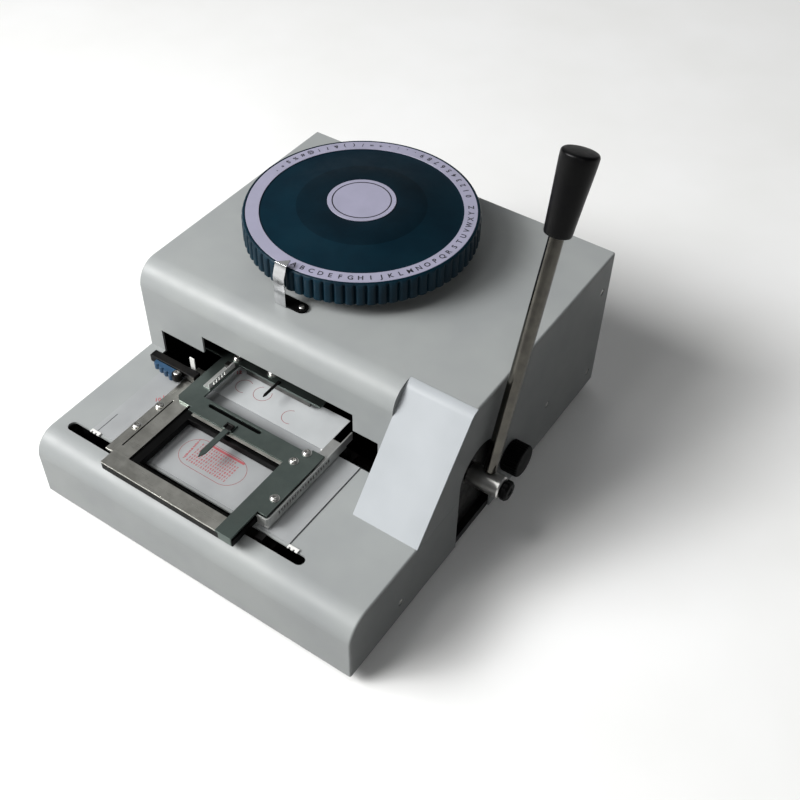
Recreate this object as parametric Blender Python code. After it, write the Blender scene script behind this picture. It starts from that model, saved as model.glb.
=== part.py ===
"""Hand-operated dog-tag embossing machine with an index wheel, a pull lever and a sliding tag carriage.

Sizes are millimetres, turned to Blender's metres by MM. X runs to the right, Y to the back, Z up.
Sizes along Y are counted from the upright face of the case, and along X from the embossing point.
"""

import math

import bmesh
import bpy
from mathutils import Vector

MM = 0.001
GAP = 0.3  # between pieces that touch

# Case
CASE_W = 330
CASE_D = 400
CASE_H = 155
DECK_H = 65
DECK_DEPTH = 144
FOOT_H = 10
SHEET = 2
BEND_R = 22
RAMP_W = 62
RAMP_FOOT = 55
RAMP_SET_BACK = 19.4
WINDOW_H = 25
WINDOW_INSET_LEFT = 18
WINDOW_INSET_RIGHT = 14
WINDOW_STEP_H = 44  # its higher middle part, over the carriage's rear bar
DECK_GAP = 12
BASE_T = 8
FOOT_R = 14
FOOT_INSET = 36
ARCH_R = 28
ARCH_ABOVE_SHAFT = 10  # where its straight sides end
ARCH_BEHIND_FACE = 34

LEFT_X = -CASE_W / 2
RIGHT_X = CASE_W / 2
FRONT_Y = -CASE_D / 2
REAR_Y = CASE_D / 2
FACE_Y = FRONT_Y + DECK_DEPTH
BOTTOM_Z = FOOT_H
DECK_Z = BOTTOM_Z + DECK_H
TOP_Z = BOTTOM_Z + CASE_H
INNER_X = (LEFT_X + SHEET + GAP, RIGHT_X - SHEET - GAP)
RAMP_X = RIGHT_X - RAMP_W
RAMP_FOOT_Y = FACE_Y - RAMP_FOOT
RAMP_TOP_Y = FACE_Y + RAMP_SET_BACK
WINDOW_X = (LEFT_X + WINDOW_INSET_LEFT, RAMP_X - WINDOW_INSET_RIGHT)
WINDOW_STEP_X = (WINDOW_X[0] + 50, WINDOW_X[1] - 25)
BASE_Z = (BOTTOM_Z + GAP, BOTTOM_Z + GAP + BASE_T)
STAND_Z = BASE_Z[1] + GAP
PAST = 5  # how far a cut runs past the face that it opens

# Type wheel, its discs and the embossing point
EMBOSS_X = -27
WHEEL_BEHIND_FACE = 141.5
PUNCH_CIRCLE_R = 77.5
PLACES = 72
DISC_R = 85
DISC_T = 6
PUNCH_DISC_Z = DECK_Z + 23
PUNCH_TIP_Z = DECK_Z + 12.5
DIE_TIP_Z = DECK_Z + 5.5
DIE_DISC_Z = DECK_Z - 9
INDEX_DISC_Z = DECK_Z + 43
INDEX_DISC_R = 62
NOTCH_DEPTH = 1.5
PIN_W = 3
SPINDLE_R = 9
SPINDLE_FOOT_R = 24
SPINDLE_FOOT_T = 8
HUB_R = 16
HUB_FLANGE_R = 38
HUB_BOTTOM_Z = DIE_DISC_Z - 6
WHEEL_LIFT = 13.4
RIM_T = 22.8
RIM_R = 103.5
RIM_LIP = 3.2
LABEL_RING_W = 11.6
LABEL_T = 0.5
DOME_R = 30
DOME_H = 7.6
RUNNING = 0.4  # radial clearance of a piece that turns on another

WHEEL_Y = FACE_Y + WHEEL_BEHIND_FACE
EMBOSS_Y = WHEEL_Y - PUNCH_CIRCLE_R
RIM_Z = (TOP_Z + WHEEL_LIFT, TOP_Z + WHEEL_LIFT + RIM_T)
HUB_FLANGE_Z = (TOP_Z + 3, RIM_Z[0] - GAP)
SPINDLE_TOP_Z = HUB_FLANGE_Z[1] - 4
RING_SEAT_Z = RIM_Z[1] - LABEL_T - GAP
DOME_Z = RING_SEAT_Z + DOME_H
LABEL_RING_OUT_R = RIM_R - RIM_LIP - GAP
LABEL_RING_IN_R = LABEL_RING_OUT_R - LABEL_RING_W

# Wheel detent
DETENT_ROLLER_R = 5
DETENT_ARM_T = 4
DETENT_ARM_HALF_W = 7
DETENT_PIVOT = (102, 44.5)  # from the wheel's centre
DETENT_STUD_R = 3
DETENT_POST_R = 6
DETENT_PIN_R = 2.5
DETENT_STUD_H = 15
DETENT_ROLLER = (EMBOSS_X + INDEX_DISC_R + GAP + DETENT_ROLLER_R, WHEEL_Y)
DETENT_POST = (EMBOSS_X + DETENT_PIVOT[0], WHEEL_Y + DETENT_PIVOT[1])
DETENT_ARM_Z = (INDEX_DISC_Z + DISC_T + 2, INDEX_DISC_Z + DISC_T + 2 + DETENT_ARM_T)

# Lever, its shaft and the two cams
SHAFT_BEHIND_FACE = 36
SHAFT_Z = DECK_Z + 1
SHAFT_R = 8
BUSH_T = 3
HUB_WALL = 1.7
LEVER_OUT = 8  # from the side panel to the rod's centre line
ROD_R = 6
LEVER_TILT = 18.5
ROD_END = 219
GRIP_LENGTH = 64.5
GRIP_FOOT_R = 10.8
GRIP_TOP_R = 14.5
BOLT_R = 9
BOLT_T = 6.7
CAM_R = 13
CAM_RISE = 5
CAM_T = 5.7
LEVER_TRAVEL = 65
FOLLOWER_R = 6
FOLLOWER_GAP = 0.5
SPRING_WIRE_R = 1.5

SHAFT_Y = FACE_Y + SHAFT_BEHIND_FACE
HUB_OUT_R = SHAFT_R + GAP + HUB_WALL
LEVER_X = RIGHT_X + LEVER_OUT
SHAFT_X = (EMBOSS_X + 97, RIGHT_X + 22.7)
HUB_X = (RIGHT_X - 7, RIGHT_X + 23)
BOLT_X = (HUB_X[1] + GAP, HUB_X[1] + GAP + BOLT_T)

# Frame plates, guide rods and rockers
PLATE_T = 6
PLATE_LEFT_X = (LEFT_X + 10, LEFT_X + 10 + PLATE_T)
PLATE_MID_X = (RAMP_X + 3, RAMP_X + 3 + PLATE_T)
PLATE_RIGHT_X = (RIGHT_X - 15, RIGHT_X - 15 + PLATE_T)
PLATE_REAR = 80  # behind the lever's shaft
PLATE_SHOULDER_Z = SHAFT_Z + 44
PLATE_TOP_Z = SHAFT_Z + 70
PLATE_BEHIND_RAMP = 8.3
ROCKER_R = 8
ROCKER_TUBE_R = 11.3
ROCKER_ABOVE = 50
ROCKER_BELOW = 46
ROCKER_Y = SHAFT_Y - CAM_R - FOLLOWER_GAP - FOLLOWER_R
CRANK_T = 4
CRANK_HALF_W = 9
FOLLOWER_PIN_R = 2.5
HAMMER_HALF_W = 7
HAMMER_HALF_D = 6
HAMMER_H = 12
HAMMER_CLEAR = 0.4
UPPER_CRANK_X = PLATE_MID_X[1] + 6
LOWER_CRANK_X = UPPER_CRANK_X + 16
GUIDE_ROD_R = 5
FRONT_ROD = (FACE_Y - 114, DECK_Z - 20)
REAR_ROD = (FACE_Y - 4, DECK_Z - 17)
BRACKET_HALF_D = 9
BRACKET_TOP_Z = DECK_Z - 9

# Tag carriage
SLOT_HALF_W = 5
SLOT_X = (LEFT_X + 13, RAMP_X - 3)
SLOT_Y = FACE_Y - 114
GUIDE_PLATE_X = (EMBOSS_X - 104, EMBOSS_X + 107)
GUIDE_PLATE_Y = (FACE_Y - 107, FACE_Y - 12.5)
GUIDE_PLATE_T = 0.8
RAIL_Z = (DECK_Z + 2, DECK_Z + 4)
RAIL_Y = (FACE_Y - 118, FACE_Y - 2)
LEFT_RAIL_X = (EMBOSS_X - 78, EMBOSS_X - 57)
RIGHT_RAIL_X = (EMBOSS_X + 71, EMBOSS_X + 93)
LIP_T = 1.5
LIP_TOP_Z = DECK_Z + 8
RACK_TOP_Z = DECK_Z + 13
RACK_SET_IN = 4.5
SLIDER_HALF_D = 9
SLIDER_HALF_H = 8.5
POST_HALF_D = 3
LEFT_POST_X = (LEFT_RAIL_X[0] + 2, LEFT_RAIL_X[0] + 10)
RIGHT_POST_X = (RIGHT_RAIL_X[0] + 10, RIGHT_RAIL_X[0] + 17)

TRAY_X = (EMBOSS_X - 63.7, EMBOSS_X + 75)
TRAY_Y = (FACE_Y - 136, FACE_Y - 34)
TRAY_Z = (RAIL_Z[1] + GAP, DECK_Z + 11)
TRAY_WINDOW_X = (EMBOSS_X - 38, EMBOSS_X + 59)
TRAY_WINDOW_Y = (FACE_Y - 118, FACE_Y - 59)
FACE_PLATE_Z = (TRAY_Z[1] + GAP, TRAY_Z[1] + 1.8)
LEFT_ARM_X = (EMBOSS_X - 61, EMBOSS_X - 42)
CROSSBAR_BACK = 6  # its front edge from the window's
FACE_PLATE_BACK = (9, 3)  # its inner edges from the window's, left and front
LEFT_ARM_FRONT_Y = FACE_Y - 49
REAR_BAR_X = (EMBOSS_X - 81, EMBOSS_X + 47)
REAR_BAR_Y = (FACE_Y + 13, FACE_Y + 28)
ZINC_Z = (FACE_PLATE_Z[1] + GAP, FACE_PLATE_Z[1] + 2.3)
CORNER_CHAMFER = 4
ZINC_SLOT_X = (EMBOSS_X - 30, EMBOSS_X + 23)
ZINC_SLOT_HALF_W = 2
NEEDLE_LENGTH = 36
NEEDLE_POINT = 6
NEEDLE_HALF_W = 2.6
NEEDLE_ROOT_HALF = 4.5
NEEDLE_T = 1.2
HOLDER_X = (EMBOSS_X - 35, EMBOSS_X + 35)
HOLDER_Y = (FACE_Y + 14, FACE_Y + 54)
HOLDER_Z = (DIE_TIP_Z + 1.5, DIE_TIP_Z + 3.5)
CLAMP_T = 1.6
CLAMP_LIFT = 1.2

RELEASE_X = (EMBOSS_X - 118, EMBOSS_X - 66)
RELEASE_Y = FACE_Y - 16
RELEASE_HALF_D = 4
RELEASE_Z = (RAIL_Z[1] + GAP, DECK_Z + 12)
RELEASE_PIVOT_X = EMBOSS_X - 70
GRIP_PAD_X = (RELEASE_X[0] + 8, RELEASE_X[0] + 34)
GRIP_PAD_D = 8.7

# Pitch knob and wheel pointer
PITCH_AXIS = (SHAFT_Y + 50, SHAFT_Z - 19)
PITCH_KNOB_R = 15
PITCH_SHAFT_R = 4
PITCH_KNOB_X = (RIGHT_X + 1, RIGHT_X + 17)
POINTER_X = (EMBOSS_X - 10.5, EMBOSS_X + 1)
POINTER_FOOT_X = EMBOSS_X + 18
POINTER_T = 1.6
POINTER_OUT = 5  # from the wheel's rim
POINTER_FOOT_D = 11
POINTER_TIP_RUN = 12
POINTER_TIP_RISE = 3.5

# Each body's parent and the point on its joint's axis
BODIES = {
    "type_wheel": (None, (EMBOSS_X, WHEEL_Y, TOP_Z)),
    "detent": (None, (DETENT_POST[0], DETENT_POST[1], DETENT_ARM_Z[0])),
    "lever": (None, (LEVER_X, SHAFT_Y, SHAFT_Z)),
    "upper_rocker": (None, (EMBOSS_X, ROCKER_Y, SHAFT_Z + ROCKER_ABOVE)),
    "lower_rocker": (None, (EMBOSS_X, ROCKER_Y, SHAFT_Z - ROCKER_BELOW)),
    "x_carriage": (None, (EMBOSS_X, FACE_Y, DECK_Z)),
    "y_frame": ("x_carriage", (EMBOSS_X, FACE_Y, TRAY_Z[0])),
    "release": ("x_carriage", (RELEASE_PIVOT_X, RELEASE_Y, RELEASE_Z[0])),
    "pitch": (None, (PITCH_KNOB_X[0], PITCH_AXIS[0], PITCH_AXIS[1])),
}
ROOT = "machine"

# Colour, metallic and roughness of each finish
FINISHES = {
    "case_paint": ((0.86, 0.86, 0.83), 0.0, 0.45),
    "ramp_paint": ((0.93, 0.94, 0.95), 0.0, 0.4),
    "teal_plastic": ((0.02, 0.13, 0.16), 0.0, 0.35),
    "label_print": ((0.86, 0.84, 0.90), 0.0, 0.5),
    "stainless": ((0.62, 0.62, 0.61), 1.0, 0.35),
    "zinc": ((0.52, 0.54, 0.50), 1.0, 0.5),
    "chrome": ((0.80, 0.80, 0.80), 1.0, 0.12),
    "steel": ((0.45, 0.45, 0.46), 1.0, 0.35),
    "dark_steel": ((0.05, 0.05, 0.05), 1.0, 0.5),
    "brass": ((0.70, 0.50, 0.20), 1.0, 0.3),
    "black_plastic": ((0.02, 0.02, 0.02), 0.0, 0.4),
    "blue_plastic": ((0.05, 0.18, 0.55), 0.0, 0.4),
    "rubber": ((0.03, 0.03, 0.03), 0.0, 0.8),
}


def clear_scene():
    for obj in list(bpy.data.objects):
        bpy.data.objects.remove(obj)


def make_bodies():
    """An empty for the fixed machine and one on each joint's axis."""
    overhang = BOLT_X[1] - RIGHT_X
    empties = {ROOT: bpy.data.objects.new(ROOT, None)}
    empties[ROOT].location = Vector((-overhang / 2 * MM, 0, 0))
    pivots = {ROOT: Vector((0, 0, 0))}
    for name, (parent, pivot) in BODIES.items():
        parent = parent or ROOT
        pivots[name] = Vector(pivot)
        empties[name] = bpy.data.objects.new(name + "_axis", None)
        empties[name].parent = empties[parent]
        empties[name].location = (pivots[name] - pivots[parent]) * MM
    for empty in empties.values():
        bpy.context.scene.collection.objects.link(empty)
    return empties, pivots


def make_finishes():
    finishes = {}
    for name, (colour, metallic, roughness) in FINISHES.items():
        finish = bpy.data.materials.new(name)
        finish.use_nodes = True
        shader = finish.node_tree.nodes["Principled BSDF"]
        shader.inputs["Base Color"].default_value = (*colour, 1)
        shader.inputs["Metallic"].default_value = metallic
        shader.inputs["Roughness"].default_value = roughness
        finishes[name] = finish
    return finishes


# Outlines: lists of points in the plane across an axis


def arc(centre, radius, start, end, steps):
    """Points on an arc, with angles in degrees from the plane's first axis."""
    angles = [math.radians(start + (end - start) * i / steps) for i in range(steps + 1)]
    return [(centre[0] + radius * math.cos(a), centre[1] + radius * math.sin(a)) for a in angles]


def circle(centre, radius, sides=24):
    return arc(centre, radius, 0, 360 - 360 / sides, sides - 1)


def rectangle(a, b):
    return [(a[0], b[0]), (a[1], b[0]), (a[1], b[1]), (a[0], b[1])]


def capsule(start, end, radius, steps=8):
    """A bar with round ends about two points."""
    heading = math.degrees(math.atan2(end[1] - start[1], end[0] - start[0]))
    far = arc(end, radius, heading - 90, heading + 90, steps)
    return far + arc(start, radius, heading + 90, heading + 270, steps)


# Shapes: bmeshes in machine coordinates


def prism(outline, axis, span):
    """The outline run along X, Y or Z from one end of the span to the other."""
    shape = bmesh.new()
    index = "XYZ".index(axis)
    base = []
    for a, b in outline:
        point = [a, b]
        point.insert(index, span[0])
        base.append(shape.verts.new(point))
    face = shape.faces.new(base)
    run = Vector((0, 0, 0))
    run[index] = span[1] - span[0]
    moved = bmesh.ops.extrude_face_region(shape, geom=[face])["geom"]
    tops = [item for item in moved if isinstance(item, bmesh.types.BMVert)]
    bmesh.ops.translate(shape, verts=tops, vec=run)
    bmesh.ops.recalc_face_normals(shape, faces=shape.faces)
    return shape


def block(x, y, z):
    return prism(rectangle(x, y), "Z", z)


def rod(axis, centre, radius, span, sides=24):
    return prism(circle(centre, radius, sides), axis, span)


def turned(profile, centre, steps=32, axis="Z"):
    """A closed profile of (radius, along the axis) points turned about a line; a radius of 0 closes it."""
    shape = bmesh.new()
    rings = []
    for radius, along in profile:
        turns = steps if radius else 1
        ring = []
        for i in range(turns):
            angle = 2 * math.pi * i / steps
            across = [centre[0] + radius * math.cos(angle), centre[1] + radius * math.sin(angle)]
            across.insert("XYZ".index(axis), along)
            ring.append(shape.verts.new(across))
        rings.append(ring)
    for near, far in zip(rings, rings[1:] + rings[:1]):
        if len(near) == 1 and len(far) == 1:
            continue
        for i in range(steps):
            following = (i + 1) % steps
            corners = [near[i % len(near)], near[following % len(near)]]
            corners += [far[following % len(far)], far[i % len(far)]]
            shape.faces.new(dict.fromkeys(corners))
    bmesh.ops.recalc_face_normals(shape, faces=shape.faces)
    return shape


def helix(axis_point, radius, span, turns, axis="X", per_turn=12):
    """Points of a coil about a line along X or Z."""
    points = []
    count = turns * per_turn
    for i in range(count + 1):
        angle = 2 * math.pi * i / per_turn
        point = [axis_point[0] + radius * math.cos(angle), axis_point[1] + radius * math.sin(angle)]
        point.insert("XYZ".index(axis), span[0] + (span[1] - span[0]) * i / count)
        points.append(point)
    return points


class Shop:
    """Turns shapes into the named pieces of the machine."""

    def __init__(self):
        self.empties, self.pivots = make_bodies()
        self.finishes = make_finishes()

    def link(self, name, data, body):
        obj = bpy.data.objects.new(name, data)
        bpy.context.scene.collection.objects.link(obj)
        obj.parent = self.empties[body]
        return obj

    def mesh_object(self, name, shape, body):
        for vert in shape.verts:
            vert.co = (vert.co - self.pivots[body]) * MM
        mesh = bpy.data.meshes.new(name)
        shape.to_mesh(mesh)
        shape.free()
        mesh.shade_smooth()
        mesh.set_sharp_from_angle(angle=math.radians(30))
        return self.link(name, mesh, body)

    def operate(self, piece, shape, operation, body, number):
        tool = self.mesh_object(f"{piece.name}_{operation.lower()}_{number}", shape, body)
        tool.hide_render = True
        tool.display_type = "WIRE"
        modifier = piece.modifiers.new(tool.name, "BOOLEAN")
        modifier.operation = operation
        modifier.solver = "EXACT"
        modifier.object = tool
        return tool

    def piece(self, name, finish, shape, body=ROOT, add=(), cut=()):
        """A named piece: a shape with others joined to it, then others cut from it."""
        obj = self.mesh_object(name, shape, body)
        obj.data.materials.append(self.finishes[finish])
        for number, extra in enumerate(add):
            self.operate(obj, extra, "UNION", body, number)
        for number, hole in enumerate(cut):
            self.operate(obj, hole, "DIFFERENCE", body, number)
        return obj

    def coil(self, name, finish, points, wire_r, body=ROOT):
        curve = bpy.data.curves.new(name, "CURVE")
        curve.dimensions = "3D"
        curve.bevel_depth = wire_r * MM
        curve.bevel_resolution = 1
        curve.use_fill_caps = True
        spline = curve.splines.new("POLY")
        spline.points.add(len(points) - 1)
        for target, point in zip(spline.points, points):
            target.co = (*((Vector(point) - self.pivots[body]) * MM), 1)
        curve.materials.append(self.finishes[finish])
        return self.link(name, curve, body)


# Case


def front_bend(radius):
    return arc((FRONT_Y + BEND_R, DECK_Z - BEND_R), radius, 180, 90, 6)


def top_bend(radius):
    return arc((FACE_Y + BEND_R, TOP_Z - BEND_R), radius, 180, 90, 6)


def slope_z(y):
    """Height of the ramp's outer face."""
    return DECK_Z + (y - RAMP_FOOT_Y) * (TOP_Z - DECK_Z) / (RAMP_TOP_Y - RAMP_FOOT_Y)


def slope_y(z):
    """Where the ramp's outer face reaches a height."""
    return RAMP_FOOT_Y + (z - DECK_Z) * (RAMP_TOP_Y - RAMP_FOOT_Y) / (TOP_Z - DECK_Z)


def side_panels(shop):
    front = [(FRONT_Y, BOTTOM_Z)] + front_bend(BEND_R)
    rear = [(REAR_Y, TOP_Z), (REAR_Y, BOTTOM_Z)]
    stepped = front + [(FACE_Y, DECK_Z)] + top_bend(BEND_R) + rear
    sloped = front + [(RAMP_FOOT_Y, DECK_Z), (RAMP_TOP_Y, TOP_Z)] + rear
    shop.piece("side_panel_left", "case_paint", prism(stepped, "X", (LEFT_X, LEFT_X + SHEET)))
    middle = FACE_Y + ARCH_BEHIND_FACE
    spring_z = SHAFT_Z + ARCH_ABOVE_SHAFT
    arch = [(middle - ARCH_R, BOTTOM_Z - PAST)] + arc((middle, spring_z), ARCH_R, 180, 0, 12)
    arch.append((middle + ARCH_R, BOTTOM_Z - PAST))
    past = (RIGHT_X - SHEET - PAST, RIGHT_X + PAST)
    knob_hole = rod("X", PITCH_AXIS, PITCH_SHAFT_R + RUNNING, past)
    panel = prism(sloped, "X", (RIGHT_X - SHEET, RIGHT_X))
    shop.piece("side_panel_right", "case_paint", panel, cut=[prism(arch, "X", past), knob_hole])


def deck_cover(shop):
    outer = [(FRONT_Y, BOTTOM_Z)] + front_bend(BEND_R) + [(FACE_Y + SHEET, DECK_Z)]
    inner = [(FACE_Y + SHEET, DECK_Z - SHEET)] + front_bend(BEND_R - SHEET)[::-1]
    inner.append((FRONT_Y + SHEET, BOTTOM_Z))
    through = (DECK_Z - SHEET - PAST, DECK_Z + PAST)
    ends = [(SLOT_X[0] + SLOT_HALF_W, SLOT_Y), (SLOT_X[1] - SLOT_HALF_W, SLOT_Y)]
    slot = prism(capsule(*ends, SLOT_HALF_W), "Z", through)
    rear = block(WINDOW_X, (FACE_Y - DECK_GAP, FACE_Y + SHEET + PAST), through)
    shop.piece("deck_cover", "case_paint", prism(outer + inner, "X", INNER_X), cut=[slot, rear])


def top_cover(shop):
    back_y = REAR_Y - SHEET - GAP
    foot_z = DECK_Z + GAP
    outer = [(FACE_Y, foot_z)] + top_bend(BEND_R) + [(back_y, TOP_Z)]
    inner = [(back_y, TOP_Z - SHEET)] + top_bend(BEND_R - SHEET)[::-1] + [(FACE_Y + SHEET, foot_z)]
    through_face = (FACE_Y - PAST, FACE_Y + SHEET + PAST)
    window = block(WINDOW_X, through_face, (DECK_Z - PAST, DECK_Z + WINDOW_H))
    step = block(WINDOW_STEP_X, through_face, (DECK_Z - PAST, DECK_Z + WINDOW_STEP_H))
    ramp_side = (FACE_Y - PAST, RAMP_TOP_Y + GAP)
    ramp_space = block((RAMP_X - GAP, RIGHT_X), ramp_side, (DECK_Z - PAST, TOP_Z + PAST))
    hub_r = HUB_R + 3
    hub_hole = rod("Z", (EMBOSS_X, WHEEL_Y), hub_r, (TOP_Z - SHEET - PAST, TOP_Z + PAST), 32)
    web_z = slope_z(FACE_Y + SHEET) - 2 * SHEET
    web = top_bend(BEND_R - SHEET / 2) + [(FACE_Y + BEND_R, web_z), (FACE_Y + SHEET / 2, web_z)]
    end_web = prism(web, "X", (RAMP_X - GAP - SHEET, RAMP_X - GAP))
    cover = prism(outer + inner, "X", INNER_X)
    shop.piece("top_cover", "case_paint", cover, add=[end_web], cut=[window, step, ramp_space, hub_hole])


def ramp_cover(shop):
    slope = math.atan2(TOP_Z - DECK_Z, RAMP_TOP_Y - RAMP_FOOT_Y)
    foot_z = DECK_Z + GAP
    sheet = [(RAMP_FOOT_Y, foot_z), (RAMP_TOP_Y, TOP_Z)]
    sheet += [(RAMP_TOP_Y, TOP_Z - SHEET / math.cos(slope))]
    sheet += [(RAMP_FOOT_Y + SHEET / math.sin(slope), foot_z)]
    inset = SHEET / 2
    back_y = FACE_Y + SHEET
    cheek = [(RAMP_FOOT_Y + inset, foot_z), (back_y, slope_z(back_y - inset)), (back_y, foot_z)]
    cheek_x = (RAMP_X, RAMP_X + SHEET)
    slope_sheet = prism(sheet, "X", (RAMP_X, INNER_X[1]))
    shop.piece("ramp_cover", "ramp_paint", slope_sheet, add=[prism(cheek, "X", cheek_x)])


def case_back_and_base(shop):
    rear = block(INNER_X, (REAR_Y - SHEET, REAR_Y), (BOTTOM_Z, TOP_Z))
    shop.piece("rear_panel", "case_paint", rear)
    depth = (FRONT_Y + SHEET + GAP, REAR_Y - SHEET - GAP)
    post_top = DETENT_ARM_Z[0] - GAP
    post = rod("Z", DETENT_POST, DETENT_POST_R, (BASE_Z[0] + 1, post_top))
    stud = rod("Z", DETENT_POST, DETENT_STUD_R, (post_top - 1, DETENT_ARM_Z[1] + DETENT_STUD_H), 16)
    base = block(INNER_X, depth, BASE_Z)
    shop.piece("base_plate", "dark_steel", base, add=[post, stud])


def feet(shop):
    profile = [(0, 0), (FOOT_R - 2, 0), (FOOT_R, FOOT_H), (0, FOOT_H)]
    columns = {"left": LEFT_X + FOOT_INSET, "right": RIGHT_X - FOOT_INSET}
    rows = {"front": FRONT_Y + FOOT_INSET, "rear": REAR_Y - FOOT_INSET}
    for row, y in rows.items():
        for column, x in columns.items():
            shop.piece(f"foot_{row}_{column}", "rubber", turned(profile, (x, y), 20))


def guide_plate(shop):
    z = (DECK_Z + GAP, DECK_Z + GAP + GUIDE_PLATE_T)
    shop.piece("guide_plate", "label_print", block(GUIDE_PLATE_X, GUIDE_PLATE_Y, z))


# Inner frame


def frame_plates(shop):
    low_front = FACE_Y - DECK_GAP
    high_front = FACE_Y + 2 * SHEET
    step_z = DECK_Z - SHEET - 3
    rear = SHAFT_Y + PLATE_REAR
    outline = [(low_front, STAND_Z), (rear, STAND_Z), (rear, PLATE_SHOULDER_Z)]
    outline += [(rear - 40, PLATE_TOP_Z), (slope_y(PLATE_TOP_Z) + PLATE_BEHIND_RAMP, PLATE_TOP_Z)]
    outline += [(high_front, PLATE_TOP_Z - 20), (high_front, step_z), (low_front, step_z)]
    upper = (ROCKER_Y, SHAFT_Z + ROCKER_ABOVE)
    lower = (ROCKER_Y, SHAFT_Z - ROCKER_BELOW)
    shaft = (SHAFT_Y, SHAFT_Z)
    tight = ROCKER_R + GAP
    loose = ROCKER_TUBE_R + 2 * GAP
    bush = SHAFT_R + GAP + BUSH_T + GAP
    guide = (REAR_ROD, GUIDE_ROD_R + GAP)
    knob = (PITCH_AXIS, PITCH_SHAFT_R + RUNNING)
    plates = {
        "frame_plate_left": (PLATE_LEFT_X, [(upper, tight), (lower, tight), guide]),
        "frame_plate_middle": (PLATE_MID_X, [(upper, loose), (lower, loose), (shaft, bush), guide]),
        "frame_plate_right": (PLATE_RIGHT_X, [(upper, tight), (lower, tight), (shaft, bush), knob]),
    }
    for name, (span, holes) in plates.items():
        past = (span[0] - PAST, span[1] + PAST)
        cuts = [rod("X", centre, radius, past) for centre, radius in holes]
        shop.piece(name, "dark_steel", prism(outline, "X", span), cut=cuts)
    ring = [(SHAFT_R + RUNNING, 0), (SHAFT_R + GAP + BUSH_T, 0)]
    for name, span in (("shaft_bush_middle", PLATE_MID_X), ("shaft_bush_right", PLATE_RIGHT_X)):
        near = [(radius, span[0]) for radius, _ in ring]
        far = [(radius, span[1]) for radius, _ in ring[::-1]]
        shop.piece(name, "brass", turned(near + far, (SHAFT_Y, SHAFT_Z), 24, "X"))


def guide_rods(shop):
    span = (PLATE_LEFT_X[0], PLATE_MID_X[1])
    shop.piece("front_guide_rod", "steel", rod("X", FRONT_ROD, GUIDE_ROD_R, span))
    shop.piece("rear_guide_rod", "steel", rod("X", REAR_ROD, GUIDE_ROD_R, span))
    depth = (FRONT_ROD[0] - BRACKET_HALF_D, FRONT_ROD[0] + BRACKET_HALF_D)
    for name, x in (("rod_bracket_left", PLATE_LEFT_X), ("rod_bracket_right", PLATE_MID_X)):
        hole = rod("X", FRONT_ROD, GUIDE_ROD_R + GAP, (x[0] - PAST, x[1] + PAST))
        shop.piece(name, "dark_steel", block(x, depth, (STAND_Z, BRACKET_TOP_Z)), cut=[hole])


def rocker_shafts(shop):
    span = (PLATE_LEFT_X[0], PLATE_RIGHT_X[1])
    for name, z in (("upper", SHAFT_Z + ROCKER_ABOVE), ("lower", SHAFT_Z - ROCKER_BELOW)):
        shop.piece(f"{name}_rocker_shaft", "steel", rod("X", (ROCKER_Y, z), ROCKER_R, span))


# Type wheel


def spindle_and_hub(shop):
    centre = (EMBOSS_X, WHEEL_Y)
    foot_z = STAND_Z + SPINDLE_FOOT_T
    post = [(0, STAND_Z), (SPINDLE_FOOT_R, STAND_Z), (SPINDLE_FOOT_R, foot_z), (SPINDLE_R, foot_z)]
    post += [(SPINDLE_R, SPINDLE_TOP_Z), (0, SPINDLE_TOP_Z)]
    shop.piece("wheel_spindle", "steel", turned(post, centre, 24))
    bore = SPINDLE_R + RUNNING
    sleeve = [(bore, HUB_BOTTOM_Z), (HUB_R, HUB_BOTTOM_Z), (HUB_R, HUB_FLANGE_Z[0])]
    sleeve += [(HUB_FLANGE_R, HUB_FLANGE_Z[0]), (HUB_FLANGE_R, HUB_FLANGE_Z[1]), (bore, HUB_FLANGE_Z[1])]
    shop.piece("hub_sleeve", "dark_steel", turned(sleeve, centre, 32), "type_wheel")


def ring_disc(inner_r, outer_r, z, steps):
    profile = [(inner_r, z[0]), (outer_r, z[0]), (outer_r, z[1]), (inner_r, z[1])]
    return turned(profile, (EMBOSS_X, WHEEL_Y), steps)


def pin_ring(z):
    """One square pin for each place, on the punch circle, with one place at the front."""
    shape = bmesh.new()
    half = PIN_W / 2
    for place in range(PLACES):
        angle = math.radians(360 * place / PLACES - 90)
        out = Vector((math.cos(angle), math.sin(angle), 0))
        side = Vector((-out.y, out.x, 0))
        centre = Vector((EMBOSS_X, WHEEL_Y, 0)) + out * PUNCH_CIRCLE_R
        corners = [centre + out * a * half + side * b * half for a, b in ((-1, -1), (1, -1), (1, 1), (-1, 1))]
        low = [shape.verts.new((c.x, c.y, z[0])) for c in corners]
        high = [shape.verts.new((c.x, c.y, z[1])) for c in corners]
        shape.faces.new(low[::-1])
        shape.faces.new(high)
        for i in range(4):
            j = (i + 1) % 4
            shape.faces.new((low[i], low[j], high[j], high[i]))
    bmesh.ops.recalc_face_normals(shape, faces=shape.faces)
    return shape


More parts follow.
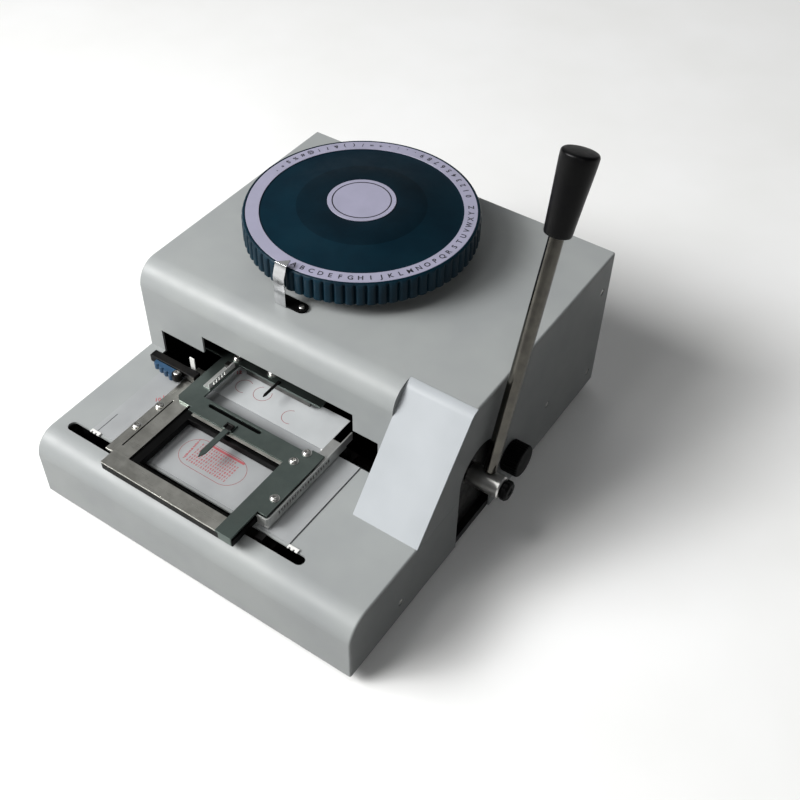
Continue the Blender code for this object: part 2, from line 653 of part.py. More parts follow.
def type_discs(shop):
    bore = HUB_R + GAP
    punch_disc = ring_disc(bore, DISC_R, (PUNCH_DISC_Z, PUNCH_DISC_Z + DISC_T), PLACES)
    punches = pin_ring((PUNCH_TIP_Z, PUNCH_DISC_Z + DISC_T / 2))
    shop.piece("punch_disc", "steel", punch_disc, "type_wheel", add=[punches])
    die_disc = ring_disc(bore, DISC_R, (DIE_DISC_Z, DIE_DISC_Z + DISC_T), PLACES)
    dies = pin_ring((DIE_DISC_Z + DISC_T / 2, DIE_TIP_Z))
    shop.piece("die_disc", "steel", die_disc, "type_wheel", add=[dies])
    step = 360 / PLACES
    crown = []
    for place in range(PLACES):
        notch = arc((EMBOSS_X, WHEEL_Y), INDEX_DISC_R - NOTCH_DEPTH, place * step, place * step, 1)[:1]
        crest = arc((EMBOSS_X, WHEEL_Y), INDEX_DISC_R, (place + 0.5) * step, (place + 0.5) * step, 1)[:1]
        crown += notch + crest
    z = (INDEX_DISC_Z, INDEX_DISC_Z + DISC_T)
    hole = rod("Z", (EMBOSS_X, WHEEL_Y), bore, (z[0] - PAST, z[1] + PAST), 32)
    shop.piece("index_disc", "steel", prism(crown, "Z", z), "type_wheel", cut=[hole])


def knob_wheel(shop):
    seat_r = RIM_R - RIM_LIP
    rim = [(0, RIM_Z[0]), (RIM_R - 1, RIM_Z[0]), (RIM_R, RIM_Z[0] + 1), (RIM_R, RIM_Z[1] - 1)]
    rim += [(RIM_R - 1, RIM_Z[1]), (seat_r, RIM_Z[1]), (seat_r, RING_SEAT_Z)]
    rim += [(LABEL_RING_IN_R - 1, RING_SEAT_Z), (DOME_R, DOME_Z), (0, DOME_Z)]
    shop.piece("knob_wheel", "teal_plastic", turned(rim, (EMBOSS_X, WHEEL_Y), PLACES), "type_wheel")
    ring_z = (RING_SEAT_Z + GAP, RING_SEAT_Z + GAP + LABEL_T)
    label_ring = ring_disc(LABEL_RING_IN_R, LABEL_RING_OUT_R, ring_z, PLACES)
    shop.piece("label_ring", "label_print", label_ring, "type_wheel")
    disc_z = (DOME_Z + GAP, DOME_Z + GAP + LABEL_T)
    label_disc = rod("Z", (EMBOSS_X, WHEEL_Y), DOME_R - GAP, disc_z, 36)
    shop.piece("label_disc", "label_print", label_disc, "type_wheel")


def detent(shop):
    arm = prism(capsule(DETENT_POST, DETENT_ROLLER, DETENT_ARM_HALF_W), "Z", DETENT_ARM_Z)
    past = (DETENT_ARM_Z[0] - PAST, DETENT_ARM_Z[1] + PAST)
    pivot_hole = rod("Z", DETENT_POST, DETENT_STUD_R + RUNNING, past, 16)
    pin_hole = rod("Z", DETENT_ROLLER, DETENT_PIN_R + GAP, past, 16)
    shop.piece("detent_arm", "steel", arm, "detent", cut=[pivot_hole, pin_hole])
    roller_top = DETENT_ARM_Z[0] - GAP
    roller = [(0, INDEX_DISC_Z), (DETENT_ROLLER_R, INDEX_DISC_Z), (DETENT_ROLLER_R, roller_top)]
    roller += [(DETENT_PIN_R, roller_top), (DETENT_PIN_R, DETENT_ARM_Z[1] + 1), (0, DETENT_ARM_Z[1] + 1)]
    shop.piece("detent_roller", "steel", turned(roller, DETENT_ROLLER, 20), "detent")
    rise = (DETENT_ARM_Z[1] + 2, DETENT_ARM_Z[1] + DETENT_STUD_H - 2)
    points = helix(DETENT_POST, DETENT_STUD_R + 2.5, rise, 4, "Z")
    shop.coil("detent_spring", "steel", points, SPRING_WIRE_R / 2)


# Lever, cams and rockers


def lever(shop):
    axis = (SHAFT_Y, SHAFT_Z)
    shop.piece("main_shaft", "steel", rod("X", axis, SHAFT_R, SHAFT_X), "lever")
    hub = [(SHAFT_R + GAP, HUB_X[0]), (HUB_OUT_R, HUB_X[0]), (HUB_OUT_R, HUB_X[1]), (SHAFT_R + GAP, HUB_X[1])]
    shop.piece("lever_hub", "steel", turned(hub, axis, 24, "X"), "lever")
    shop.piece("end_bolt", "black_plastic", rod("X", axis, BOLT_R, BOLT_X, 6), "lever")
    centre = (LEVER_X, SHAFT_Y)
    start = SHAFT_Z + HUB_OUT_R + GAP
    grip_z = SHAFT_Z + ROD_END + GAP
    grip_top = SHAFT_Z + ROD_END + GRIP_LENGTH
    arm = rod("Z", centre, ROD_R, (start, SHAFT_Z + ROD_END))
    grip = [(0, grip_z), (GRIP_FOOT_R - 1, grip_z), (GRIP_FOOT_R, grip_z + 2)]
    grip += [(GRIP_TOP_R, grip_top - 5), (GRIP_TOP_R - 2, grip_top - 1), (0, grip_top)]
    for piece in (
        shop.piece("lever_rod", "stainless", arm, "lever"),
        shop.piece("lever_grip", "black_plastic", turned(grip, centre, 24), "lever"),
    ):
        piece.rotation_euler.x = math.radians(-LEVER_TILT)
    coil_x = (SHAFT_X[0] + 3, PLATE_MID_X[0] - 4)
    coil_r = SHAFT_R + 2 * SPRING_WIRE_R
    points = helix(axis, coil_r, coil_x, 6)
    shop.coil("return_spring", "steel", points, SPRING_WIRE_R)


def cam_outline():
    """Base circle with a lobe that rises evenly over the lever's travel, then falls back."""
    points = []
    step = 5
    for degrees in range(0, 360, step):
        into = 180 - degrees
        if 0 <= into <= LEVER_TRAVEL:
            rise = CAM_RISE * into / LEVER_TRAVEL
        elif LEVER_TRAVEL < into < 2 * LEVER_TRAVEL:
            rise = CAM_RISE * (2 - into / LEVER_TRAVEL)
        else:
            rise = 0
        radius = CAM_R + rise
        angle = math.radians(degrees)
        points.append((SHAFT_Y + radius * math.cos(angle), SHAFT_Z + radius * math.sin(angle)))
    return points


def rocker(shop, side, crank_x, axis_z, lift):
    """A tube on its shaft with a crank to the cam and a hammer arm under or over the embossing point.

    lift is how far the hammer's face stands above the axis, and below it when negative."""
    body = f"{side}_rocker"
    axis = (ROCKER_Y, axis_z)
    crank_span = (crank_x, crank_x + CRANK_T)
    hammer_x = (EMBOSS_X - HAMMER_HALF_W, EMBOSS_X + HAMMER_HALF_W)
    tube = rod("X", axis, ROCKER_TUBE_R, (hammer_x[0] - 6, crank_span[1]))
    crank = prism(capsule(axis, (ROCKER_Y, SHAFT_Z), CRANK_HALF_W), "X", crank_span)
    reach = EMBOSS_Y + HAMMER_HALF_D
    arm = block(hammer_x, (ROCKER_Y, reach), (axis_z - HAMMER_H / 2, axis_z + HAMMER_H / 2))
    nose_y = (EMBOSS_Y - HAMMER_HALF_D, reach)
    nose = block((hammer_x[0] + 1, hammer_x[1] - 1), nose_y, sorted((axis_z, axis_z + lift)))
    bore = rod("X", axis, ROCKER_R + GAP, (hammer_x[0] - 6 - PAST, crank_span[1] + PAST))
    pin_hole = rod("X", (ROCKER_Y, SHAFT_Z), FOLLOWER_PIN_R + GAP, (crank_x - PAST, crank_span[1] + PAST), 16)
    shop.piece(body, "dark_steel", tube, body, add=[crank, arm, nose], cut=[bore, pin_hole])
    face_x = crank_span[1] + GAP
    follower = [(0, crank_x), (FOLLOWER_PIN_R, crank_x), (FOLLOWER_PIN_R, face_x), (FOLLOWER_R, face_x)]
    follower += [(FOLLOWER_R, face_x + CAM_T), (0, face_x + CAM_T)]
    roller = turned(follower, (ROCKER_Y, SHAFT_Z), 24, "X")
    shop.piece(f"{side}_cam_roller", "steel", roller, body)
    cam_x = (face_x, face_x + CAM_T)
    bore = rod("X", (SHAFT_Y, SHAFT_Z), SHAFT_R + GAP, (cam_x[0] - PAST, cam_x[1] + PAST))
    shop.piece(f"{side}_cam", "steel", prism(cam_outline(), "X", cam_x), "lever", cut=[bore])


def rockers(shop):
    reach = EMBOSS_Y + HAMMER_HALF_D - ROCKER_Y
    down = CAM_RISE * reach / ROCKER_ABOVE
    up = CAM_RISE * reach / ROCKER_BELOW
    upper_z = SHAFT_Z + ROCKER_ABOVE
    lower_z = SHAFT_Z - ROCKER_BELOW
    hammer_foot = PUNCH_DISC_Z + DISC_T + down + HAMMER_CLEAR
    hammer_head = DIE_DISC_Z - up - HAMMER_CLEAR
    rocker(shop, "upper", UPPER_CRANK_X, upper_z, hammer_foot - upper_z)
    rocker(shop, "lower", LOWER_CRANK_X, lower_z, hammer_head - lower_z)


# Tag carriage


def slider(shop, name, axis):
    """A block on a guide rod with two posts that reach the side rails."""
    x = (LEFT_RAIL_X[0], RIGHT_RAIL_X[1])
    depth = (axis[0] - SLIDER_HALF_D, axis[0] + SLIDER_HALF_D)
    height = (axis[1] - SLIDER_HALF_H, axis[1] + SLIDER_HALF_H)
    post_y = (axis[0] - POST_HALF_D, axis[0] + POST_HALF_D)
    post_z = (axis[1] + SLIDER_HALF_H - 2, RAIL_Z[0] - GAP)
    posts = [block(span, post_y, post_z) for span in (LEFT_POST_X, RIGHT_POST_X)]
    bore = rod("X", axis, GUIDE_ROD_R + RUNNING, (x[0] - PAST, x[1] + PAST))
    shop.piece(name, "dark_steel", block(x, depth, height), "x_carriage", add=posts, cut=[bore])


def side_rails(shop):
    lip_x = (TRAY_X[0] - GAP - LIP_T, TRAY_X[0] - GAP)
    lip_y = (RAIL_Y[0] + 12, RELEASE_Y - 25)
    lip = block(lip_x, lip_y, (RAIL_Z[0] + 1, LIP_TOP_Z))
    rail = block(LEFT_RAIL_X, RAIL_Y, RAIL_Z)
    shop.piece("left_side_rail", "stainless", rail, "x_carriage", add=[lip])
    rack_x = (RIGHT_RAIL_X[1] - RACK_SET_IN - LIP_T, RIGHT_RAIL_X[1] - RACK_SET_IN)
    rack_y = (RAIL_Y[0] + 8, FACE_Y + 7)
    rack = block(rack_x, rack_y, (RAIL_Z[0] + 1, RACK_TOP_Z))
    rail = block(RIGHT_RAIL_X, RAIL_Y, RAIL_Z)
    shop.piece("right_side_rail", "stainless", rail, "x_carriage", add=[rack])


def tray_and_plates(shop):
    past = (TRAY_Z[0] - PAST, TRAY_Z[1] + PAST)
    window = block(TRAY_WINDOW_X, TRAY_WINDOW_Y, past)
    shop.piece("frame_tray", "black_plastic", block(TRAY_X, TRAY_Y, TRAY_Z), "y_frame", cut=[window])
    front_x = TRAY_X[1] - 6
    left_x = TRAY_WINDOW_X[0] - FACE_PLATE_BACK[0]
    front_y = TRAY_WINDOW_Y[0] - FACE_PLATE_BACK[1]
    ell = [(TRAY_X[0], TRAY_Y[0]), (front_x, TRAY_Y[0]), (front_x, front_y), (left_x, front_y)]
    ell += [(left_x, TRAY_Y[1]), (TRAY_X[0], TRAY_Y[1])]
    shop.piece("face_plate", "stainless", prism(ell, "Z", FACE_PLATE_Z), "y_frame")


def pointer_plate(shop):
    arm_x = (TRAY_WINDOW_X[1], TRAY_X[1] - 0.5)
    cross_y = (TRAY_WINDOW_Y[1] + CROSSBAR_BACK, TRAY_Y[1])
    outline = [(arm_x[0], TRAY_Y[0] - 1), (arm_x[1], TRAY_Y[0] - 1), (arm_x[1], cross_y[1])]
    outline += [(LEFT_ARM_X[1], cross_y[1]), (LEFT_ARM_X[1], REAR_BAR_Y[0]), (REAR_BAR_X[1], REAR_BAR_Y[0])]
    outline += [(REAR_BAR_X[1], REAR_BAR_Y[1]), (REAR_BAR_X[0], REAR_BAR_Y[1])]
    outline += [(REAR_BAR_X[0], REAR_BAR_Y[0]), (LEFT_ARM_X[0], REAR_BAR_Y[0])]
    outline += [(LEFT_ARM_X[0], LEFT_ARM_FRONT_Y + CORNER_CHAMFER)]
    outline += [(LEFT_ARM_X[0] + CORNER_CHAMFER, LEFT_ARM_FRONT_Y), (LEFT_ARM_X[1] - 1, LEFT_ARM_FRONT_Y)]
    outline += [(LEFT_ARM_X[1] - 1, cross_y[0]), (arm_x[0], cross_y[0])]
    middle = cross_y[1] - 5
    ends = [(ZINC_SLOT_X[0], middle), (ZINC_SLOT_X[1], middle)]
    slot = prism(capsule(*ends, ZINC_SLOT_HALF_W, 4), "Z", (ZINC_Z[0] - PAST, ZINC_Z[1] + PAST))
    shop.piece("pointer_plate", "zinc", prism(outline, "Z", ZINC_Z), "y_frame", cut=[slot])
    root_y = (cross_y[0], cross_y[0] + 2 * NEEDLE_ROOT_HALF)
    z = (ZINC_Z[1] + GAP, ZINC_Z[1] + GAP + NEEDLE_T)
    tip_x = EMBOSS_X
    root = [(tip_x + NEEDLE_ROOT_HALF, root_y[0]), (tip_x + NEEDLE_ROOT_HALF, root_y[1])]
    root += [(tip_x - NEEDLE_ROOT_HALF, root_y[1]), (tip_x - NEEDLE_ROOT_HALF, root_y[0])]
    shoulder_y = cross_y[0] - NEEDLE_LENGTH + NEEDLE_POINT
    root += [(tip_x - NEEDLE_HALF_W, root_y[0]), (tip_x - NEEDLE_HALF_W, shoulder_y)]
    root += [(tip_x, cross_y[0] - NEEDLE_LENGTH), (tip_x + NEEDLE_HALF_W, shoulder_y)]
    root += [(tip_x + NEEDLE_HALF_W, root_y[0])]
    shop.piece("window_needle", "steel", prism(root, "Z", z), "y_frame")


def tag_holder(shop):
    boss_y = (HOLDER_Y[0], REAR_BAR_Y[1] - 1)
    boss = block(HOLDER_X, boss_y, (HOLDER_Z[0] + 1, ZINC_Z[0] - GAP))
    shop.piece("tag_holder", "steel", block(HOLDER_X, HOLDER_Y, HOLDER_Z), "y_frame", add=[boss])
    clamp_z = (HOLDER_Z[1] + CLAMP_LIFT, HOLDER_Z[1] + CLAMP_LIFT + CLAMP_T)
    clamp_y = (boss_y[1] + GAP, HOLDER_Y[1] - 2)
    clamp_x = (HOLDER_X[0] + 4, HOLDER_X[1] - 4)
    shop.piece("tag_clamp", "steel", block(clamp_x, clamp_y, clamp_z), "y_frame")


def release_lever(shop):
    depth = (RELEASE_Y - RELEASE_HALF_D, RELEASE_Y + RELEASE_HALF_D)
    shop.piece("release_bar", "dark_steel", block(RELEASE_X, depth, RELEASE_Z), "release")
    pad_y = (depth[0] - GAP - GRIP_PAD_D, depth[0] - GAP)
    pad = block(GRIP_PAD_X, pad_y, (RELEASE_Z[0], RELEASE_Z[1] - 1))
    shop.piece("release_grip", "blue_plastic", pad, "release")


def pitch_knob(shop):
    shaft_x = (PLATE_RIGHT_X[0] - 8, PITCH_KNOB_X[0] + 1)
    profile = [(0, shaft_x[0]), (PITCH_SHAFT_R, shaft_x[0]), (PITCH_SHAFT_R, PITCH_KNOB_X[0])]
    profile += [(PITCH_KNOB_R, PITCH_KNOB_X[0]), (PITCH_KNOB_R, PITCH_KNOB_X[1] - 1)]
    profile += [(PITCH_KNOB_R - 1, PITCH_KNOB_X[1]), (0, PITCH_KNOB_X[1])]
    shop.piece("pitch_knob", "black_plastic", turned(profile, PITCH_AXIS, 30, "X"), "pitch")


def pointer_clip(shop):
    """A bent strip that stands on the case and ends over the wheel's rim."""
    foot_z = TOP_Z + GAP
    back_y = WHEEL_Y - RIM_R - POINTER_OUT
    front_y = back_y - POINTER_T
    foot_y = back_y + POINTER_FOOT_D
    bend_z = RIM_Z[1] + 0.6
    tip = (back_y + POINTER_TIP_RUN, bend_z + POINTER_TIP_RISE)
    strip = [(foot_y, foot_z), (foot_y, foot_z + POINTER_T), (back_y, foot_z + POINTER_T), (back_y, bend_z), tip]
    strip += [(tip[0] - 0.5, tip[1] + POINTER_T), (front_y, bend_z + POINTER_T), (front_y, foot_z)]
    foot_x = (POINTER_X[1] - 1, POINTER_FOOT_X)
    foot = block(foot_x, (back_y, foot_y), (foot_z, foot_z + POINTER_T))
    shop.piece("pointer_clip", "chrome", prism(strip, "X", POINTER_X), add=[foot])


def main():
    clear_scene()
    shop = Shop()
    for build in (
        side_panels,
        deck_cover,
        top_cover,
        ramp_cover,
        case_back_and_base,
        feet,
        guide_plate,
        frame_plates,
        guide_rods,
        rocker_shafts,
        spindle_and_hub,
        type_discs,
        knob_wheel,
        detent,
        lever,
        rockers,
        side_rails,
        tray_and_plates,
        pointer_plate,
        tag_holder,
        release_lever,
        pitch_knob,
        pointer_clip,
    ):
        build(shop)
    slider(shop, "front_slider", FRONT_ROD)
    slider(shop, "rear_slider", REAR_ROD)


main()
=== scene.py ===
"""Looks of the dog-tag embossing machine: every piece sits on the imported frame, in metres."""

import math

import bmesh
import bpy
from mathutils import Matrix, Vector


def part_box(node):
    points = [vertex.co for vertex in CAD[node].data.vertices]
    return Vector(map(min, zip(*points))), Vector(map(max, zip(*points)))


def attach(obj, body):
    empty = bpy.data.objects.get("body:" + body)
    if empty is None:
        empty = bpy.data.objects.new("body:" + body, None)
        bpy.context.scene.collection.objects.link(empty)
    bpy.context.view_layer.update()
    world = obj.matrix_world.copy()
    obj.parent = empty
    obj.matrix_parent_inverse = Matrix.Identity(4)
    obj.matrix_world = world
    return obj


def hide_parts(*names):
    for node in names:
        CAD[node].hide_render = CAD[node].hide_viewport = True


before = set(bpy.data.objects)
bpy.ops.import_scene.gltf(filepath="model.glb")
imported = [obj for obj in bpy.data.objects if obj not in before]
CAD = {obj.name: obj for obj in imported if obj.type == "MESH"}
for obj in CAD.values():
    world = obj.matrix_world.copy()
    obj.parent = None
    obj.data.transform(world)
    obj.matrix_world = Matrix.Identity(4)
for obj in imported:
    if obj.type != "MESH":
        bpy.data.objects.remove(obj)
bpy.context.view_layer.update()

MM = 0.001
HAIR = 0.05 * MM  # how far print stands off what it lies on


# Colours and materials


def srgb(code):
    """A hex colour such as B9B8B2 as linear red, green, blue, alpha."""
    channels = [int(code[i : i + 2], 16) / 255 for i in (0, 2, 4)]
    return tuple(c / 12.92 if c <= 0.04045 else ((c + 0.055) / 1.055) ** 2.4 for c in channels) + (1,)


def add_node(tree, kind, settings=None, links=None):
    """Adds a node, sets its sockets or properties, and links its inputs."""
    node = tree.nodes.new(kind)
    for name, value in (settings or {}).items():
        if isinstance(name, int) or name in node.inputs:
            node.inputs[name].default_value = value
        else:
            setattr(node, name, value)
    for name, source in (links or {}).items():
        tree.links.new(source, node.inputs[name])
    return node


def start_material(name, **sockets):
    material = bpy.data.materials.new(name)
    material.use_nodes = True
    tree = material.node_tree
    shader = tree.nodes["Principled BSDF"]
    for socket, value in sockets.items():
        shader.inputs[socket.replace("_", " ")].default_value = value
    place = add_node(tree, "ShaderNodeTexCoord").outputs["Object"]
    return material, tree, shader, place


def grain(tree, place, size, detail=3, stretch=None):
    """Noise whose features are about this many millimetres across, drawn out along an axis by stretch."""
    if stretch:
        place = add_node(tree, "ShaderNodeMapping", {"Scale": stretch}, {"Vector": place}).outputs[0]
    settings = {"Scale": 1 / (size * MM), "Detail": detail, "Roughness": 0.55}
    return add_node(tree, "ShaderNodeTexNoise", settings, {"Vector": place}).outputs[0]


def sheen(tree, shader, pattern, low, high):
    """Roughness that follows a pattern from low to high."""
    settings = {"From Min": 0.3, "From Max": 0.7, "To Min": low, "To Max": high}
    reach = add_node(tree, "ShaderNodeMapRange", settings, {"Value": pattern})
    tree.links.new(reach.outputs[0], shader.inputs["Roughness"])


def tint(tree, shader, factor, dark, light, low=0.35, high=0.65):
    """Colour that follows a pattern from one hex colour to another."""
    ramp = add_node(tree, "ShaderNodeValToRGB", None, {"Fac": factor})
    for stop, position, code in zip(ramp.color_ramp.elements, (low, high), (dark, light)):
        stop.position = position
        stop.color = srgb(code)
    tree.links.new(ramp.outputs[0], shader.inputs["Base Color"])


def relief(tree, shader, height, depth, strength=1.0):
    """Bump of this many millimetres."""
    settings = {"Strength": strength, "Distance": depth * MM}
    bump = add_node(tree, "ShaderNodeBump", settings, {"Height": height})
    tree.links.new(bump.outputs[0], shader.inputs["Normal"])


def powder_coated_steel(name, dark, light):
    """Sprayed and baked polyester powder: satin, with a faint orange peel of about 1 mm."""
    material, tree, shader, place = start_material(name, Metallic=0.0, IOR=1.5, Specular_IOR_Level=0.25)
    tint(tree, shader, grain(tree, place, 70), dark, light)
    peel = grain(tree, place, 1.1, detail=2)
    relief(tree, shader, peel, 0.05, 0.5)
    sheen(tree, shader, grain(tree, place, 25), 0.36, 0.46)
    return material


def moulded_abs(name, dark, light, roughness=0.34, shine=0.4):
    """Injection-moulded ABS: even colour under a fine spark-eroded grain, drawn at 0.5 mm to show."""
    material, tree, shader, place = start_material(name, Metallic=0.0, IOR=1.54, Specular_IOR_Level=shine)
    tint(tree, shader, grain(tree, place, 30), dark, light)
    relief(tree, shader, grain(tree, place, 0.5, detail=2), 0.02, 0.5)
    sheen(tree, shader, grain(tree, place, 18), roughness - 0.05, roughness + 0.07)
    return material


def brushed_stainless_steel(name, along, dark="A4A39C", light="BDBCB5", rough=0.26):
    """Sheet ground on a belt: fine scratches one way, 0.4 mm wide, spread the shine across them."""
    material, tree, shader, place = start_material(name, Metallic=1.0)
    stretch = {"X": (0.02, 1, 1), "Y": (1, 0.02, 1), "Z": (1, 1, 0.02)}[along]
    scratches = grain(tree, place, 0.4, detail=4, stretch=stretch)
    stains = grain(tree, place, 14)
    tint(tree, shader, stains, dark, light)
    relief(tree, shader, scratches, 0.02, 0.35)
    sheen(tree, shader, scratches, rough, rough + 0.16)
    return material


def zinc_plated_steel():
    """Passivated zinc over steel sheet: green-grey, cloudy, duller than stainless."""
    material, tree, shader, place = start_material("zinc_plated_steel", Metallic=1.0)
    clouds = grain(tree, place, 22, detail=3)
    tint(tree, shader, clouds, "5D6763", "6B7470", 0.3, 0.7)
    relief(tree, shader, grain(tree, place, 0.6), 0.015, 0.4)
    sheen(tree, shader, clouds, 0.5, 0.34)
    return material


def chromed_steel():
    """Bright chrome over bent strip: a mirror with faint ripples from the polish."""
    material, tree, shader, place = start_material("chromed_steel", Metallic=1.0)
    tint(tree, shader, grain(tree, place, 12), "A6A7A8", "BEBFC0")
    relief(tree, shader, grain(tree, place, 3), 0.01, 0.3)
    sheen(tree, shader, grain(tree, place, 6), 0.07, 0.14)
    return material


def turned_steel(name, dark, light, roughness, across="X"):
    """Bar turned or ground to size: tool rings about 0.3 mm apart, drawn at 0.6 mm."""
    material, tree, shader, place = start_material(name, Metallic=1.0)
    stretch = {"X": (1, 0.02, 0.02), "Z": (0.02, 0.02, 1)}[across]
    rings = grain(tree, place, 0.6, detail=1, stretch=stretch)
    tint(tree, shader, grain(tree, place, 10), dark, light)
    relief(tree, shader, rings, 0.001, 0.05)
    sheen(tree, shader, rings, roughness - 0.02, roughness + 0.04)
    return material


def black_oxide_steel():
    """Blackened machine steel: near black, oily sheen, brown where handled."""
    material, tree, shader, place = start_material("black_oxide_steel", Metallic=0.7)
    tint(tree, shader, grain(tree, place, 15), "0B0B0C", "1B1917")
    relief(tree, shader, grain(tree, place, 0.7), 0.02, 0.5)
    sheen(tree, shader, grain(tree, place, 8), 0.38, 0.55)
    return material


def moulded_phenolic():
    """Compression-moulded phenolic grip: deep black with a soft, slightly waxy shine."""
    material, tree, shader, place = start_material(
        "moulded_phenolic", Metallic=0.0, IOR=1.6, Specular_IOR_Level=0.1
    )
    tint(tree, shader, grain(tree, place, 20), "020203", "050505")
    relief(tree, shader, grain(tree, place, 0.8), 0.02, 0.4)
    sheen(tree, shader, grain(tree, place, 7), 0.3, 0.42)
    return material


def printed_film(name, dark, light):
    """Screen-printed polyester film: even, with a soft shine and faint handling marks."""
    material, tree, shader, place = start_material(name, Metallic=0.0, IOR=1.57)
    tint(tree, shader, grain(tree, place, 35), dark, light)
    sheen(tree, shader, grain(tree, place, 12), 0.3, 0.42)
    relief(tree, shader, grain(tree, place, 2), 0.01, 0.2)
    return material


def screen_ink(name, dark, light):
    """Printing ink: matt, laid a little unevenly through a mesh of about 0.3 mm."""
    material, tree, shader, place = start_material(name, Metallic=0.0, IOR=1.5)
    tint(tree, shader, grain(tree, place, 0.9), dark, light)
    sheen(tree, shader, grain(tree, place, 3), 0.5, 0.65)
    return material


def moulded_rubber():
    """Black nitrile rubber: dull, with dust in its grain."""
    material, tree, shader, place = start_material("moulded_rubber", Metallic=0.0, IOR=1.52)
    tint(tree, shader, grain(tree, place, 1.5), "101010", "202020")
    relief(tree, shader, grain(tree, place, 0.8), 0.04, 0.5)
    sheen(tree, shader, grain(tree, place, 4), 0.7, 0.85)
    return material


FINISH = {
    "case": powder_coated_steel("powder_coated_steel", "919494", "989B9A"),
    # the ramp's paint is the case's powder coat painted lighter: painted light where the slope faces the
    # lamps
    "ramp": powder_coated_steel("powder_coated_ramp_painted_light", "A2A6A9", "AAAEB1"),
    "wheel": moulded_abs("moulded_abs_teal", "051B26", "06202B", 0.42, 0.07),
    "wheel_middle": moulded_abs("moulded_abs_teal_middle", "04151E", "051A24", 0.42, 0.06),
    "rim": moulded_abs("moulded_abs_rim", "061D29", "092734", 0.42, 0.14),
    "black_abs": moulded_abs("moulded_abs_black", "040404", "090909", 0.42, 0.06),
    "blue_abs": moulded_abs("moulded_abs_blue", "1D3B56", "2A4F6E", 0.4),
    "white_abs": moulded_abs("moulded_abs_white", "D8D8D4", "E8E8E5", 0.4),
    "stainless": brushed_stainless_steel("brushed_stainless_x", "X"),
    "stainless_y": brushed_stainless_steel("brushed_stainless_y", "Y"),
    # the same brushed stainless painted lighter: painted light on rack walls that sit in shade and mirror
    # dark surroundings
    "stainless_painted_light": brushed_stainless_steel("stainless_rack_painted_light", "Y", "BFC0BE", "CECFCC", 0.5),
    "zinc": zinc_plated_steel(),
    "chrome": chromed_steel(),
    # steel painted dark for the parts inside the case: painted shade
    "steel": turned_steel("turned_steel", "4A4A48", "5C5B59", 0.3),
    # the lever rod's steel is painted dark: painted dark reflection of its surroundings
    "rod": turned_steel("ground_lever_rod_painted_dark", "4C4A46", "585650", 0.16, "Z"),
    "bright": turned_steel("bright_turned_steel", "B8B7B4", "C6C5C2", 0.3),
    "oxide": black_oxide_steel(),
    "phenolic": moulded_phenolic(),
    "label": printed_film("printed_film_lilac", "8E8DA0", "9694A9"),
    # the layout plate's film is painted darker than the shutter's: painted shade from the frame round the
    # window
    "plate": printed_film("printed_film_grey_painted_shade", "929495", "9A9C9D"),
    "shutter": printed_film("printed_film_pale", "B2B5B6", "BABDBE"),
    "ink": screen_ink("screen_ink_black", "101018", "1C1C26"),
    "red_ink": screen_ink("screen_ink_red", "A04A50", "AC5C61"),
    "faded_red_ink": screen_ink("screen_ink_faded_red", "8A4448", "96565A"),
    "rubber": moulded_rubber(),
}


# Outlines and shapes


def arc(centre, radius, start, end, steps):
    angles = [math.radians(start + (end - start) * i / steps) for i in range(steps + 1)]
    return [(centre[0] + radius * math.cos(a), centre[1] + radius * math.sin(a)) for a in angles]


def circle(centre, radius, sides=48):
    return arc(centre, radius, 0, 360 - 360 / sides, sides - 1)


def capsule(start, end, radius, steps=16):
    heading = math.degrees(math.atan2(end[1] - start[1], end[0] - start[0]))
    far = arc(end, radius, heading - 90, heading + 90, steps)
    return far + arc(start, radius, heading + 90, heading + 270, steps)


def rectangle(a, b):
    return [(a[0], b[0]), (a[1], b[0]), (a[1], b[1]), (a[0], b[1])]


def spread(axis, across, along):
    """A point from its two coordinates across an axis and the one along it."""
    point = list(across)
    point.insert("XYZ".index(axis), along)
    return Vector(point)


def prism(outline, axis, span, bevel=0, segments=3):
    """An outline run along an axis. The bevel rounds the edges at its two ends."""
    shape = bmesh.new()
    low = [shape.verts.new(spread(axis, point, span[0])) for point in outline]
    high = [shape.verts.new(spread(axis, point, span[1])) for point in outline]
    ends = [shape.faces.new(low), shape.faces.new(high)]
    for i in range(len(low)):
        j = (i + 1) % len(low)
        shape.faces.new((low[i], low[j], high[j], high[i]))
    bmesh.ops.recalc_face_normals(shape, faces=shape.faces)
    if bevel:
        edges = {edge for face in ends for edge in face.edges}
        bmesh.ops.bevel(
            shape,
            geom=list(edges),
            offset=bevel,
            segments=segments,
            profile=0.5,
            affect="EDGES",
            clamp_overlap=True,
        )
    return shape


def block(x, y, z):
    return prism(rectangle(x, y), "Z", z)


def turned(profile, centre, steps=96, axis="Z", swell=None):
    """A closed profile of (radius, along) points turned about a line; swell varies a radius by angle."""
    shape = bmesh.new()
    rings = []
    for index, (radius, along) in enumerate(profile):
        ring = []
        for i in range(steps if radius else 1):
            angle = 2 * math.pi * i / steps
            r = swell(index, angle, radius) if swell and radius else radius
            across = (centre[0] + r * math.cos(angle), centre[1] + r * math.sin(angle))
            ring.append(shape.verts.new(spread(axis, across, along)))
        rings.append(ring)
    for near, far in zip(rings, rings[1:] + rings[:1]):
        if len(near) == len(far) == 1:
            continue
        for i in range(steps):
            j = (i + 1) % steps
            corners = [near[i % len(near)], near[j % len(near)], far[j % len(far)], far[i % len(far)]]
            shape.faces.new(dict.fromkeys(corners))
    bmesh.ops.recalc_face_normals(shape, faces=shape.faces)
    return shape


def joined(shapes):
    """Separate shapes as one mesh."""
    whole = bmesh.new()
    for shape in shapes:
        mesh = bpy.data.meshes.new("part")
        shape.to_mesh(mesh)
        shape.free()
        whole.from_mesh(mesh)
        bpy.data.meshes.remove(mesh)
    return whole


